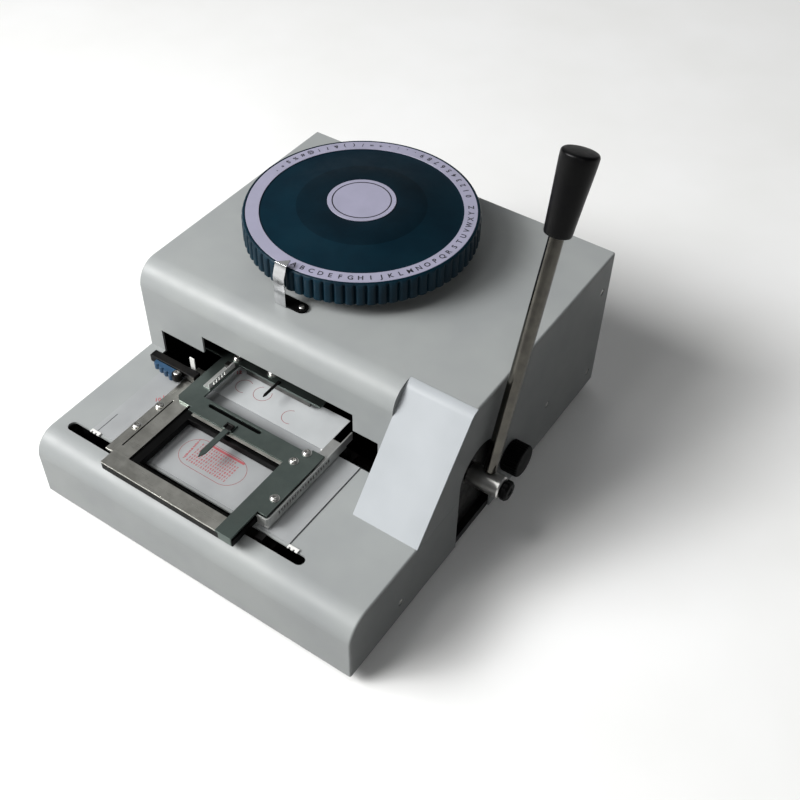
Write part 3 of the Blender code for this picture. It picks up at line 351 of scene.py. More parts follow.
def link(name, shape):
    mesh = bpy.data.meshes.new(name)
    shape.to_mesh(mesh)
    shape.free()
    obj = bpy.data.objects.new(name, mesh)
    bpy.context.scene.collection.objects.link(obj)
    return obj


def settle(obj):
    """Applies an object's modifiers to its mesh."""
    graph = bpy.context.evaluated_depsgraph_get()
    mesh = bpy.data.meshes.new_from_object(obj.evaluated_get(graph))
    obj.modifiers.clear()
    obj.data = mesh


def carve(obj, shapes, operation="DIFFERENCE"):
    """Cuts shapes from an object, or joins them to it, one after the other."""
    for shape in shapes:
        tool = link("tool", shape)
        modifier = obj.modifiers.new("carve", "BOOLEAN")
        modifier.operation = operation
        modifier.object = tool
        settle(obj)
        bpy.data.objects.remove(tool)


def soften(obj, width, segments=2, angle=35):
    """Rounds every sharp edge by this many millimetres and keeps flat faces flat."""
    if width:
        bevel = obj.modifiers.new("edges", "BEVEL")
        bevel.width = width * MM
        bevel.segments = segments
        bevel.limit_method = "ANGLE"
        bevel.angle_limit = math.radians(angle)
        bevel.harden_normals = False
    settle(obj)
    obj.data.shade_smooth()
    obj.data.set_sharp_from_angle(angle=math.radians(38))
    normals = obj.modifiers.new("normals", "WEIGHTED_NORMAL")
    normals.keep_sharp = True
    settle(obj)


def piece(name, shape, finish, body, slot, replaces=(), bevel=0.0, cuts=(), adds=(), segments=2):
    """A finished piece on its body."""
    obj = link(name, shape)
    carve(obj, adds, "UNION")
    carve(obj, cuts)
    soften(obj, bevel, segments)
    obj.data.materials.clear()
    obj.data.materials.append(FINISH[finish])
    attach(obj, body)
    if replaces:
        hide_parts(*replaces)


def refined(node, finish, bevel, body, slot, cuts=(), adds=(), segments=2):
    """A CAD node with its edges rounded."""
    shape = bmesh.new()
    shape.from_mesh(CAD[node].data)
    bmesh.ops.remove_doubles(shape, verts=shape.verts, dist=0.002 * MM)
    bmesh.ops.dissolve_limit(shape, angle_limit=math.radians(0.5), verts=shape.verts, edges=shape.edges)
    piece(node + "_finished", shape, finish, body, slot, (node,), bevel, cuts, adds, segments)


def centre_of(node):
    low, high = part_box(node)
    return (low + high) / 2


# Places that several pieces share

deck_low, deck_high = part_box("deck_cover")
cover_low, cover_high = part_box("top_cover")
left_low, left_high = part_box("side_panel_left")
right_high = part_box("side_panel_right")[1]
ramp_low, ramp_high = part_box("ramp_cover")
rear_low, rear_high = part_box("rear_panel")
wheel_low, wheel_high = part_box("knob_wheel")
guide_low, guide_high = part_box("guide_plate")
zinc_low, zinc_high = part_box("pointer_plate")

SHEET = left_high.x - left_low.x
BEND_R = 22 * MM
FRONT_Y = deck_low.y
FACE_Y = cover_low.y
DECK_Z = deck_high.z
TOP_Z = cover_high.z
BOTTOM_Z = left_low.z
REAR_Y = right_high.y
CASE_X = (left_low.x, right_high.x)
RAMP_X = ramp_low.x
WHEEL = ((wheel_low.x + wheel_high.x) / 2, (wheel_low.y + wheel_high.y) / 2)
RIM_R = (wheel_high.x - wheel_low.x) / 2
EMBOSS_X = WHEEL[0]
SHAFT = (centre_of("main_shaft").y, centre_of("main_shaft").z)
PAST = 5 * MM
WINDOW_X = (CASE_X[0] + 18 * MM, RAMP_X - 14 * MM)
RAMP_BACK = ramp_high.y + 6 * MM  # where the ramp cover's sheet ends on the top


# Where the screws are


def screw_places(side):
    """Where the case's screws are: each screw's name, the surface's place and its outward direction."""
    inset = 10 * MM
    if side == "rear":
        xs, zs = (rear_low.x + inset, rear_high.x - inset), (rear_low.z + inset, TOP_Z - 2 * inset)
        return [(f"rear_screw_{i}", (xs[i % 2], rear_high.y, zs[i // 2]), (0, 1, 0)) for i in range(4)]
    x, way = (CASE_X[0], -1) if side == "left" else (CASE_X[1], 1)
    spots = ((-132, 20), (100, 48), (185, 120), (185, 20))
    places = [(x, y * MM, BOTTOM_Z + z * MM) for y, z in spots]
    return [(f"{side}_screw_{i}", place, (way, 0, 0)) for i, place in enumerate(places)]


SIDE_SCREWS = screw_places("left") + screw_places("right")
REAR_SCREWS = screw_places("rear")


def screw_holes(places):
    """Round recesses, one sheet deep, that the screws' heads sit in."""
    holes = []
    for _, place, way in places:
        axis = "X" if way[0] else "Y"
        across = (place[1], place[2]) if way[0] else (place[0], place[2])
        surface = place[0] if way[0] else place[1]
        depth = sorted((surface - sum(way) * 1.8 * MM, surface + sum(way) * PAST))
        holes.append(prism(circle(across, 3.5 * MM, 32), axis, depth))
    return holes


# Case


def stepped_profile(inset):
    """The case's side outline, a step up from the deck to the top, drawn in by inset."""
    bend = BEND_R - inset
    low = BOTTOM_Z if not inset else BOTTOM_Z - PAST
    back = REAR_Y if not inset else REAR_Y + PAST
    points = [(FRONT_Y + inset, low)]
    points += arc((FRONT_Y + BEND_R, DECK_Z - BEND_R), bend, 180, 90, 20)
    points += [(FACE_Y + inset, DECK_Z - inset)]
    points += arc((FACE_Y + BEND_R, TOP_Z - BEND_R), bend, 180, 90, 20)
    return points + [(back, TOP_Z - inset), (back, low)]


def ramp_line():
    """The ramp's angle, and how far its outer face drops for the thickness of its sheet."""
    slope = (TOP_Z - DECK_Z) / (ramp_high.y - ramp_low.y)
    return slope, SHEET * math.hypot(1, slope)


def window_cuts():
    """The face's opening: low at its ends and higher over the carriage's rear bar."""
    through = (FACE_Y - PAST, FACE_Y + 2 * PAST)
    low = block(WINDOW_X, through, (DECK_Z - SHEET / 2, DECK_Z + 25 * MM))
    middle_x = (WINDOW_X[0] + 50 * MM, WINDOW_X[1] - 25 * MM)
    return [low, block(middle_x, through, (DECK_Z - SHEET / 2, DECK_Z + 44 * MM))]


def case_shell():
    """Skin of the case: deck, apron, face, top and both sides, welded and ground smooth for paint."""
    shell = link("case_shell", prism(stepped_profile(0), "X", CASE_X, bevel=2.2 * MM, segments=5))
    inner_x = (CASE_X[0] + SHEET, CASE_X[1] - SHEET)
    inner = prism(stepped_profile(SHEET), "X", inner_x)
    rear_gap = block(WINDOW_X, (FACE_Y - 12 * MM, FACE_Y + SHEET), (DECK_Z - 2 * PAST, DECK_Z + PAST))
    slot_y = centre_of("front_guide_rod").y
    slot_x = (CASE_X[0] + 18 * MM, RAMP_X - 8 * MM)
    slot_outline = capsule((slot_x[0], slot_y), (slot_x[1], slot_y), PAST)
    slot = prism(slot_outline, "Z", (DECK_Z - 2 * PAST, DECK_Z + PAST))
    hub = prism(circle(WHEEL, 19 * MM), "Z", (TOP_Z - 2 * PAST, TOP_Z + PAST))
    over_deck = (DECK_Z + HAIR, TOP_Z + PAST)
    ramp_room = block((RAMP_X, CASE_X[1] + PAST), (FACE_Y - PAST, RAMP_BACK), over_deck)
    carve(shell, [inner, *window_cuts(), rear_gap, slot, hub, ramp_room])
    slope, drop = ramp_line()
    foot, back = ramp_low.y + drop / slope, RAMP_BACK + HAIR
    cheek_top = min(DECK_Z + (back - foot) * slope, TOP_Z - SHEET)
    corner = foot + (cheek_top - DECK_Z) / slope
    cheek = [(foot, DECK_Z - HAIR), (corner, cheek_top), (back, cheek_top), (back, DECK_Z - HAIR)]
    bend = arc((FACE_Y + BEND_R, TOP_Z - BEND_R), BEND_R - HAIR, 180, 90, 20)
    web_foot = DECK_Z + 30 * MM
    web = bend + [(back, TOP_Z - HAIR), (back, web_foot), (FACE_Y + HAIR, web_foot)]
    walls = [prism(cheek, "X", (CASE_X[1] - SHEET, CASE_X[1])), prism(web, "X", (RAMP_X - SHEET, RAMP_X))]
    carve(shell, walls, "UNION")
    carve(shell, [arch_cut(), knob_cut(), joined(screw_holes(SIDE_SCREWS))])
    soften(shell, 0.25)
    shell.data.materials.clear()
    shell.data.materials.append(FINISH["case"])
    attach(shell, "case")
    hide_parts("deck_cover", "top_cover", "side_panel_left", "side_panel_right")


def arch_cut():
    """The round-topped opening in the right side for the lever's shaft."""
    radius = 28 * MM
    middle = FACE_Y + 34 * MM
    spring = SHAFT[1] + 10 * MM
    points = [(middle - radius, BOTTOM_Z - PAST)] + arc((middle, spring), radius, 180, 0, 40)
    points.append((middle + radius, BOTTOM_Z - PAST))
    return prism(points, "X", (CASE_X[1] - 2 * PAST, CASE_X[1] + PAST))


def knob_cut():
    knob = centre_of("pitch_knob")
    return prism(circle((knob.y, knob.z), 4.4 * MM, 32), "X", (CASE_X[1] - 2 * PAST, CASE_X[1] + PAST))


def ramp_housing():
    """The sloping cover over the lever's cams, bent over onto the top; painted brighter than the case in
    the same paint, as painted light.
    """
    slope, drop = ramp_line()
    angle = math.degrees(math.atan(slope))
    radius = 12 * MM
    run = radius * math.tan(math.radians(angle / 2))
    centre = (ramp_high.y + run, TOP_Z - radius)
    outer = [(ramp_low.y, DECK_Z)] + arc(centre, radius, 90 + angle, 90, 10) + [(RAMP_BACK - HAIR, TOP_Z)]
    outer.append((RAMP_BACK - HAIR, DECK_Z))
    foot, back, below = ramp_low.y + drop / slope, RAMP_BACK + PAST, DECK_Z - PAST
    inner = [(foot, DECK_Z)] + arc(centre, radius - SHEET, 90 + angle, 90, 10)
    inner += [(back, TOP_Z - SHEET), (back, below), (foot, below)]
    inside = prism(inner, "X", (RAMP_X + SHEET, CASE_X[1] + PAST))
    shell = prism(outer, "X", (RAMP_X + HAIR, CASE_X[1]))
    extras = {"bevel": 0.7, "cuts": [inside], "segments": 3}
    piece("ramp_housing", shell, "ramp", "case", "ramp_paint", ("ramp_cover",), **extras)


def rear_cover():
    """Screwed-on back with folded edges and two rows of air slots."""
    inset = 0.3 * MM
    slots = []
    for row in (-1, 1):
        for column in range(-4, 5):
            x = centre_of("rear_panel").x + column * 12 * MM
            z = centre_of("rear_panel").z + row * 14 * MM
            outline = capsule((x, z - 7 * MM), (x, z + 7 * MM), 1.8 * MM, 8)
            slots.append(prism(outline, "Y", (rear_low.y - PAST, rear_high.y + PAST)))
    x = (rear_low.x + inset, rear_high.x - inset)
    z = (rear_low.z + inset, TOP_Z - SHEET - inset)
    panel = block(x, (rear_low.y, rear_high.y), z)
    holes = [joined(slots + screw_holes(REAR_SCREWS))]
    piece("rear_cover", panel, "case", "case", "case_paint", ("rear_panel",), bevel=0.5, cuts=holes)


# Fasteners


def pan_screw(name, place, body, radius=3.0, normal=(0, 0, 1), washer=0.0, turn=20):
    """A pan-head screw with a cross recess, and a plain washer under it where one is asked for."""
    r = radius * MM
    height = 0.62 * r
    dome = [(0, 0), (r * 0.96, 0), (r, height * 0.2), (r * 0.93, height * 0.62)]
    dome += [(r * 0.7, height * 0.9), (0, height)]
    head = link(name, turned(dome, (0, 0), 40))
    blade = (-0.17 * r, 0.17 * r)
    arm = (-0.55 * r, 0.55 * r)
    depth = (height * 0.25, height * 2)
    carve(head, [block(arm, blade, depth), block(blade, arm, depth)])
    if washer:
        low, high = -washer * MM, 0.01 * MM
        ring = turned([(0, low), (r * 1.25, low), (r * 1.25, high), (0, high)], (0, 0), 40)
        carve(head, [ring], "UNION")
    soften(head, 0.12)
    spin = Matrix.Rotation(math.radians(turn), 4, "Z")
    tilt = Vector((0, 0, 1)).rotation_difference(Vector(normal)).to_matrix().to_4x4()
    head.data.transform(Matrix.Translation(Vector(place)) @ tilt @ spin)
    head.data.materials.append(FINISH["bright"])
    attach(head, body)


def case_screws():
    for number, (name, place, way) in enumerate(SIDE_SCREWS + REAR_SCREWS):
        base = Vector(place) - Vector(way) * 1.85 * MM
        pan_screw(name, base, "case", 2.9, way, turn=35 * number)


# Index wheel


def index_wheel():
    """Moulded wheel: 72 finger ribs on its rim, a seat for the letter ring and a low stepped cone."""
    ring_low, ring_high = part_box("label_ring")
    ring_out = (ring_high.x - ring_low.x) / 2
    seat_z = ring_low.z - 0.25 * MM
    disc_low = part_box("label_disc")[0]
    disc_r = centre_of("label_disc").x - disc_low.x
    low = wheel_low.z
    top = ring_high.z + 0.15 * MM
    dome_z = disc_low.z - 0.25 * MM
    cone_r, step_r = 87 * MM, 56 * MM
    step_z = seat_z + (dome_z - seat_z) * (cone_r - step_r) / (cone_r - disc_r)
    rim = [
        (0, low + 8 * MM),
        (40 * MM, low + 8 * MM),
        (42 * MM, low),
        (RIM_R - 4.5 * MM, low),
        (RIM_R - 2.4 * MM, low + 0.5 * MM),
        (RIM_R, low + 1.5 * MM),
        (RIM_R, low + 3 * MM),
        (RIM_R, top - 4.4 * MM),
        (RIM_R - 0.2 * MM, top - 2.9 * MM),
        (RIM_R - 0.7 * MM, top - 1.7 * MM),
        (RIM_R - 1.4 * MM, top - 0.5 * MM),
        (RIM_R - 2.2 * MM, top),
        (ring_out + 0.5 * MM, top),
        (ring_out + 0.3 * MM, seat_z),
        (cone_r, seat_z),
        (cone_r - 1 * MM, seat_z + 0.4 * MM),
        (step_r + 0.6 * MM, step_z),
        (step_r, step_z + 0.35 * MM),
        (disc_r + 6 * MM, dome_z - 0.5 * MM),
        (disc_r + 1.4 * MM, dome_z + 0.1 * MM),
        (disc_r + 0.6 * MM, dome_z),
        (0, dome_z),
    ]
    groove = {5: 1.8 * MM, 6: 2.8 * MM, 7: 2.8 * MM, 8: 2.2 * MM, 9: 0.6 * MM}

    def ribs(index, angle, radius):
        crown = max(abs(math.cos(36 * (angle + math.pi / 2))) - 0.22, 0) / 0.78
        return radius - groove.get(index, 0) * (1 - math.sqrt(crown * (2 - crown)))

    wheel = link("index_wheel", turned(rim, WHEEL, 72 * 12, swell=ribs))
    wheel.data.shade_smooth()
    wheel.data.set_sharp_from_angle(angle=math.radians(50))
    for finish in ("wheel", "rim", "wheel_middle"):
        wheel.data.materials.append(FINISH[finish])
    centre = Vector((*WHEEL, 0))
    for face in wheel.data.polygons:
        out = face.center - centre
        reach = math.hypot(out.x, out.y)
        if reach > RIM_R - 3.2 * MM and face.center.z < top - 0.5 * MM:
            face.material_index = 1
        if reach < step_r + 0.3 * MM and face.center.z > seat_z:
            face.material_index = 2
    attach(wheel, "type_wheel")
    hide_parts("knob_wheel")


def label_ring():
    low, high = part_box("label_ring")
    outer = (high.x - low.x) / 2
    inner = outer - 11.6 * MM
    edge = 0.1 * MM
    profile = [(inner, low.z), (outer, low.z), (outer, high.z - edge), (outer - edge, high.z)]
    profile += [(inner + edge, high.z), (inner, high.z - edge)]
    piece("letter_ring", turned(profile, WHEEL, 240), "label", "type_wheel", "label_print", ("label_ring",))
    return high.z, (inner + outer) / 2


def centre_label():
    """Pale disc in the middle of the wheel with a thin dark ring near its edge."""
    low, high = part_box("label_disc")
    radius = (high.x - low.x) / 2
    edge = 0.1 * MM
    profile = [(0, low.z), (radius, low.z), (radius, high.z - edge), (radius - edge, high.z), (0, high.z)]
    piece("centre_disc", turned(profile, WHEEL, 160), "label", "type_wheel", "label_print", ("label_disc",))
    ring_r, width = radius - 4.9 * MM, 1.1 * MM
    line = rectangle((ring_r, ring_r + width), (high.z, high.z + HAIR))
    piece("centre_disc_line", turned(line, WHEEL, 160), "ink", "type_wheel", "label_print")


def glyph(character, height, weight):
    """A character as a flat mesh in millimetre size, centred on the origin, its top towards +Y."""
    curve = bpy.data.curves.new("glyph", "FONT")
    curve.body = character
    curve.size = height / 0.72
    curve.extrude = HAIR
    curve.offset = weight * height
    curve.resolution_u = 4
    holder = bpy.data.objects.new("glyph", curve)
    bpy.context.scene.collection.objects.link(holder)
    graph = bpy.context.evaluated_depsgraph_get()
    mesh = bpy.data.meshes.new_from_object(holder.evaluated_get(graph))
    bpy.data.objects.remove(holder)
    xs = [v.co.x for v in mesh.vertices]
    mesh.transform(Matrix.Translation((-(min(xs) + max(xs)) / 2, -height / 2, 0)))
    return mesh


def printed(name, marks, finish, body, weight=0.0):
    """Characters laid on a surface: marks are (character, height, place, turn in degrees)."""
    print_mesh = bmesh.new()
    for character, height, place, turn in marks:
        mesh = glyph(character, height, weight)
        mesh.transform(Matrix.Translation(Vector(place)) @ Matrix.Rotation(math.radians(turn), 4, "Z"))
        print_mesh.from_mesh(mesh)
        bpy.data.meshes.remove(mesh)
    obj = link(name, print_mesh)
    obj.data.materials.clear()
    obj.data.materials.append(FINISH[finish])
    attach(obj, body)


def dial_characters(z, radius):
    """A to Z from the front round to the right, a blank place, then figures and signs round the back."""
    places = "ABCDEFGHIJKLMNOPQRSTUVWXYZ 0123456789.,:-+=/()&?!@#%$*'"
    marks = []
    for place, character in enumerate(places):
        if character == " ":
            continue
        angle = math.radians(5 * place - 90)
        spot = (WHEEL[0] + radius * math.cos(angle), WHEEL[1] + radius * math.sin(angle), z + HAIR / 2)
        height = 5 * MM if character.isalnum() else 4.4 * MM
        marks.append((character, height, spot, 5 * place))
    printed("dial_characters", marks, "ink", "type_wheel", weight=0.028)


def pointer_clip():
    """Bent chrome strip that stands before the rim, leans over it and ends in a point at the letter."""
    low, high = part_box("pointer_clip")
    strip_x = (low.x, low.x + 11.5 * MM)
    thick = 1.2 * MM
    front_y = low.y + 0.2 * MM
    back_y = front_y + thick
    base_z = low.z + 0.2 * MM
    fold_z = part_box("label_ring")[1].z - 6 * MM
    lip_y = back_y + 3.8 * MM
    tip_y = high.y - 0.3 * MM
    lip_z = high.z - 1.6 * MM
    side = [(front_y, base_z), (front_y, fold_z), (lip_y - 0.6 * MM, lip_z + thick), (tip_y, lip_z + thick)]
    side += [(tip_y, lip_z), (lip_y, lip_z), (back_y, fold_z - 0.4 * MM), (back_y, base_z)]
    beyond = (lip_z - PAST, high.z + PAST)
    left, right = strip_x
    point = (left + 9.2 * MM, tip_y)
    shoulder = lip_y - 0.3 * MM
    past = tip_y + PAST
    left_trim = [(left - PAST, shoulder), (left, shoulder), point, (point[0], past), (left - PAST, past)]
    right_trim = [(right + PAST, shoulder), (right + PAST, past), (point[0], past), point]
    right_trim.append((right, shoulder))
    trims = [prism(outline, "Z", beyond) for outline in (left_trim, right_trim)]
    foot_y = (back_y - 0.2 * MM, high.y - 0.4 * MM)
    radius = (foot_y[1] - foot_y[0]) / 2
    end = high.x - radius
    middle = foot_y[0] + radius
    start = left + 1 * MM
    outline = [(start, foot_y[0])] + arc((end, middle), radius, -90, 90, 20) + [(start, foot_y[1])]
    foot = prism(outline, "Z", (low.z, low.z + 1.5 * MM))
    # the foot is chrome like the strip; it is painted black as painted shadow of the wheel and painted dark
    # reflection of the rim
    piece("pointer_foot_painted_shade", foot, "black_abs", "case", "dark_steel", bevel=0.25)
    strip = prism(side, "X", strip_x)
    piece("pointer_strip", strip, "chrome", "case", "chrome", ("pointer_clip",), bevel=0.3, cuts=trims)
    pan_screw("pointer_screw", (end + 0.5 * MM, middle, low.z + 1.5 * MM), "case", 2.7)


# Lever and pitch knob


def lever_axis():
    """Foot and direction of the lever's centre line."""
    low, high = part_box("lever_grip")
    x = (low.x + high.x) / 2
    foot = Vector((x, *SHAFT))
    tilt = math.radians(18.5)
    return foot, Vector((0, math.sin(tilt), math.cos(tilt)))


def along_lever(shape):
    foot, way = lever_axis()
    turn = Vector((0, 0, 1)).rotation_difference(way).to_matrix().to_4x4()
    shape.transform(Matrix.Translation(foot) @ turn)
    return shape


def lever():
    start, end, top = 10.3, 219, 282.7  # millimetres from the shaft's line
    taper = [(0, start), (5.2, start), (5.6, start + 1), (6, start + 16)]
    taper += [(6, end - 1), (5.5, end), (0, end)]
    rod = along_lever(turned([(r * MM, z * MM) for r, z in taper], (0, 0), 64))
    # the rod's finish is painted dark as painted reflection
    piece("lever_bar", rod, "rod", "lever", "stainless", ("lever_rod",))
    grip = [(0, end + 0.2), (9.4, end + 0.2), (10.5, end + 0.9), (10.9, end + 2.4)]
    grip += [(11.6, end + 14), (12.6, end + 30), (13.7, end + 46), (14.4, end + 57)]
    grip += [(14.4, top - 2.4), (14, top - 1.2), (13.2, top - 0.5), (11.5, top - 0.2), (6, top), (0, top)]
    handle = along_lever(turned([(r * MM, z * MM) for r, z in grip], (0, 0), 72))
    piece("grip", handle, "phenolic", "lever", "black_plastic", ("lever_grip",))


def shaft_end():
    """Bright hub round the shaft, a washer and the black bolt that holds it."""
    low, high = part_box("lever_hub")
    r = (high.y - low.y) / 2
    bore = r - 1.7 * MM
    hub = [(bore, low.x), (r, low.x), (r, high.x - 1.2 * MM), (r - 1.1 * MM, high.x), (bore, high.x)]
    piece("shaft_hub", turned(hub, SHAFT, 72, "X"), "bright", "lever", "steel", ("lever_hub",))
    low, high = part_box("end_bolt")
    r = (high.y - low.y) / 2
    sides = 8

    def lobes(index, angle, radius):
        return radius * (1 - 0.07 * (0.5 - 0.5 * math.cos(sides * angle))) if 3 <= index <= 5 else radius

    profile = [(0, low.x), (r * 0.72, low.x), (r * 0.72, low.x + 0.8 * MM), (r, low.x + 1.1 * MM)]
    profile += [(r, high.x - 2 * MM), (r * 0.94, high.x - 1 * MM), (r * 0.8, high.x), (r * 0.42, high.x)]
    profile += [(r * 0.36, high.x - 0.8 * MM), (0, high.x - 0.8 * MM)]
    bolt = turned(profile, SHAFT, 96, "X", swell=lobes)
    piece("end_bolt_head", bolt, "black_abs", "lever", "black_plastic", ("end_bolt",))


def pitch_knob():
    """Straight-knurled black knob."""
    low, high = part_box("pitch_knob")
    axis = ((low.y + high.y) / 2, (low.z + high.z) / 2)
    r = (high.z - low.z) / 2
    face = high.x
    back = high.x - 16 * MM
    profile = [(0, low.x), (4 * MM, low.x), (4 * MM, back), (r - 1 * MM, back), (r, back + 0.8 * MM)]
    profile += [(r, face - 1.6 * MM), (r - 0.8 * MM, face - 0.5 * MM), (r - 2 * MM, face), (0, face)]

    def knurl(index, angle, radius):
        return radius - (0.7 * MM * (0.5 - 0.5 * math.cos(30 * angle)) ** 2 if 4 <= index <= 5 else 0)

    knob = turned(profile, axis, 360, "X", swell=knurl)
    piece("pitch_knob_body", knob, "black_abs", "pitch", "black_plastic", ("pitch_knob",))


# Tag carriage


def shift(x, y):
    """A place in millimetres from the embossing line and the face, in metres."""
    return EMBOSS_X + x * MM, FACE_Y + y * MM


def combs(x, span, z, pitch, width):
    """Upright slots along Y through a strip, one to a step."""
    count = int((span[1] - span[0]) / pitch)
    starts = [span[0] + i * pitch for i in range(count)]
    return joined([block(x, (y, y + width), z) for y in starts])


def side_rails():
    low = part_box("left_side_rail")[0]
    refined("left_side_rail", "stainless_y", 0.25, "x_carriage", "stainless")
    for number, y in enumerate((-85, -57)):
        place = (*shift(-73.5, y), low.z + 2.3 * MM)
        pan_screw(f"left_rail_screw_{number}", place, "x_carriage", 3.7, washer=0.6, turn=50)
    low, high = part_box("right_side_rail")
    wall_x = (EMBOSS_X + 84.3 * MM, EMBOSS_X + 85.5 * MM)
    flat_top = low.z + 2.05 * MM
    along = (low.y - PAST, high.y + PAST)
    across = (low.x - PAST, high.x + PAST)
    upright = (low.z - PAST, high.z + PAST)
    beyond = block((wall_x[1], high.x + PAST), along, upright)
    ahead = block(across, (low.y - PAST, FACE_Y - 106 * MM), upright)
    above = block(across, along, (flat_top, high.z + PAST))
    trims = [beyond, ahead, above]
    # the right rail and the rack wall take the lighter stainless, which is painted light
    refined("right_side_rail", "stainless_painted_light", 0.15, "x_carriage", "stainless", cuts=trims)
    wall_y = (FACE_Y - 106 * MM, FACE_Y + 7 * MM)
    wall_z = (flat_top + 0.02 * MM, DECK_Z + 12.9 * MM)
    through = (wall_x[0] - 1 * MM, wall_x[1] + 1 * MM)
    span = (FACE_Y - 92 * MM, FACE_Y - 22 * MM)
    slots = combs(through, span, (wall_z[0] + 1.9 * MM, wall_z[1] - 2.6 * MM), 3.4 * MM, 1.8 * MM)
    behind_x = (wall_x[0] - 0.5 * MM, wall_x[0] - 0.1 * MM)
    behind = block(behind_x, (span[0] - 2 * MM, span[1]), (wall_z[0], wall_z[1] - 1.5 * MM))
    piece("rack_shadow_strip", behind, "oxide", "x_carriage", "dark_steel", bevel=0.05)
    tab_x = (EMBOSS_X + 71.8 * MM, wall_x[0])
    radius = 3 * MM
    corner = (wall_x[1] - radius, wall_y[0] + radius)
    bend = [(tab_x[0], wall_y[0] + 1.2 * MM), (tab_x[0], wall_y[0])] + arc(corner, radius, -90, 0, 8)
    bend += [(wall_x[1], corner[1] + 1 * MM), (wall_x[0], corner[1] + 1 * MM)]
    bend += arc(corner, radius - 1.2 * MM, 0, -90, 8)
    tab = prism(bend, "Z", wall_z)
    wall = block(wall_x, (corner[1], wall_y[1]), wall_z)
    extras = {"bevel": 0.12, "cuts": [slots], "adds": [tab]}
    piece("rack_wall", wall, "stainless_painted_light", "x_carriage", "stainless", **extras)


def inner_frame():
    refined("frame_tray", "black_abs", 0.5, "y_frame", "black_plastic", segments=3)
    low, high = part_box("face_plate")
    marks = []
    dimple = [(0, high.z - 0.7 * MM), (1.3 * MM, high.z + PAST), (0, high.z + PAST)]
    for x, y in ((-39, -128), (-6, -131), (27, -127), (60, -131)):
        marks.append(turned(dimple, shift(x, y), 24))
    groove_x, groove_y = shift(-62.2, -113)
    through = (low.z - PAST, high.z + PAST)
    groove = block((groove_x, groove_x + 1.2 * MM), (groove_y, groove_y + 62 * MM), through)
    refined("face_plate", "stainless", 0.25, "y_frame", "stainless", cuts=[joined(marks), groove])
    flange_x = (EMBOSS_X + 61.5 * MM, zinc_high.x - 0.2 * MM)
    flange_z = (zinc_high.z - 9 * MM, zinc_high.z - 0.4 * MM)
    flange = block(flange_x, (zinc_low.y, zinc_low.y + 1.2 * MM), flange_z)
    wide_y = (FACE_Y - 104 * MM, FACE_Y - 29 * MM)
    wide_x = (zinc_high.x - 3 * MM, EMBOSS_X + 83.5 * MM)
    wide = block(wide_x, wide_y, (zinc_low.z, zinc_high.z))
    refined("pointer_plate", "zinc", 0.3, "y_frame", "zinc", adds=[flange, wide])
    lip_x = (EMBOSS_X - 37 * MM, EMBOSS_X + 58.7 * MM)
    lip_y = (FACE_Y - 56 * MM, FACE_Y - 53.2 * MM)
    lip = block(lip_x, lip_y, (zinc_high.z - 1.7 * MM, zinc_high.z - 0.6 * MM))
    piece("crossbar_lip", lip, "stainless", "y_frame", "stainless", bevel=0.3)
    spots = ((66, -47.5, 3.3), (69.5, -34.5, 3.3), (77.5, -86.5, 3.3))
    for number, (x, y, radius) in enumerate(spots):
        place = (*shift(x, y), zinc_high.z + 0.5 * MM)
        pan_screw(f"pointer_plate_screw_{number}", place, "y_frame", radius, washer=0.5, turn=30 * number)
    for number, (x, y, radius) in enumerate(((-48.3, 18.6, 3.6), (-11.3, 22.5, 4.4))):
        place = (*shift(x, y), zinc_high.z + 0.8 * MM)
        pan_screw(f"rear_bar_screw_{number}", place, "y_frame", radius, washer=0.8, turn=15 + 40 * number)


def needles():
    refined("window_needle", "zinc", 0.15, "y_frame", "steel")
    low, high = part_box("window_needle")
    x = (low.x + high.x) / 2
    clip_y = (high.y - 9 * MM, high.y - 3 * MM)
    clip_z = (high.z - 0.05 * MM, high.z + 1.8 * MM)
    cap = block((x - 4 * MM, x + 4 * MM), clip_y, clip_z)
    hollow_y = (clip_y[0] - PAST, clip_y[1] - 1.4 * MM)
    hollow = block((x - 2.6 * MM, x + 2.6 * MM), hollow_y, (clip_z[0] + 0.6 * MM, clip_z[1] + PAST))
    piece("needle_clip", cap, "oxide", "y_frame", "chrome", bevel=0.3, cuts=[hollow])
    root_y = FACE_Y + 17 * MM
    tip_y = FACE_Y - 6 * MM
    z = (zinc_high.z + 0.1 * MM, zinc_high.z + 1.1 * MM)
    half = 1.3 * MM
    shoulder = tip_y + 3 * MM
    outline = [(x - half, root_y), (x - half, shoulder), (x, tip_y)]
    outline += [(x + half, shoulder), (x + half, root_y)]
    piece("rear_needle", prism(outline, "Z", z), "oxide", "y_frame", "dark_steel", bevel=0.1)


def line_rack():
    """Upright slotted strip along the pointer plate's left arm that sets the line spacing."""
    x = (EMBOSS_X - 44.5 * MM, EMBOSS_X - 43.2 * MM)
    y = (FACE_Y - 25 * MM, FACE_Y + 9 * MM)
    z = (zinc_high.z + 0.05 * MM, zinc_high.z + 6 * MM)
    through = (x[0] - 1 * MM, x[1] + 1 * MM)
    slot_z = (z[0] + 1.4 * MM, z[1] - 0.9 * MM)
    slots = combs(through, (y[0] + 5 * MM, y[1] - 8 * MM), slot_z, 3.6 * MM, 1.4 * MM)
    foot = block((x[0] - 6 * MM, x[1] - 0.1 * MM), (y[0], y[1] - 0.1 * MM), (z[0], z[0] + 1 * MM))
    extras = {"bevel": 0.12, "cuts": [slots], "adds": [foot]}
    # the line rack takes the lighter stainless, which is painted light
    piece("line_rack", block(x, y, z), "stainless_painted_light", "y_frame", "stainless", **extras)
    stop_z = (z[0] + 0.9 * MM, z[1] - 1 * MM)
    stop = block((x[0] - 5.5 * MM, x[0] - 0.4 * MM), (y[1] - 6 * MM, y[1] - 1 * MM), stop_z)
    piece("line_rack_stop", stop, "oxide", "y_frame", "dark_steel", bevel=0.4)


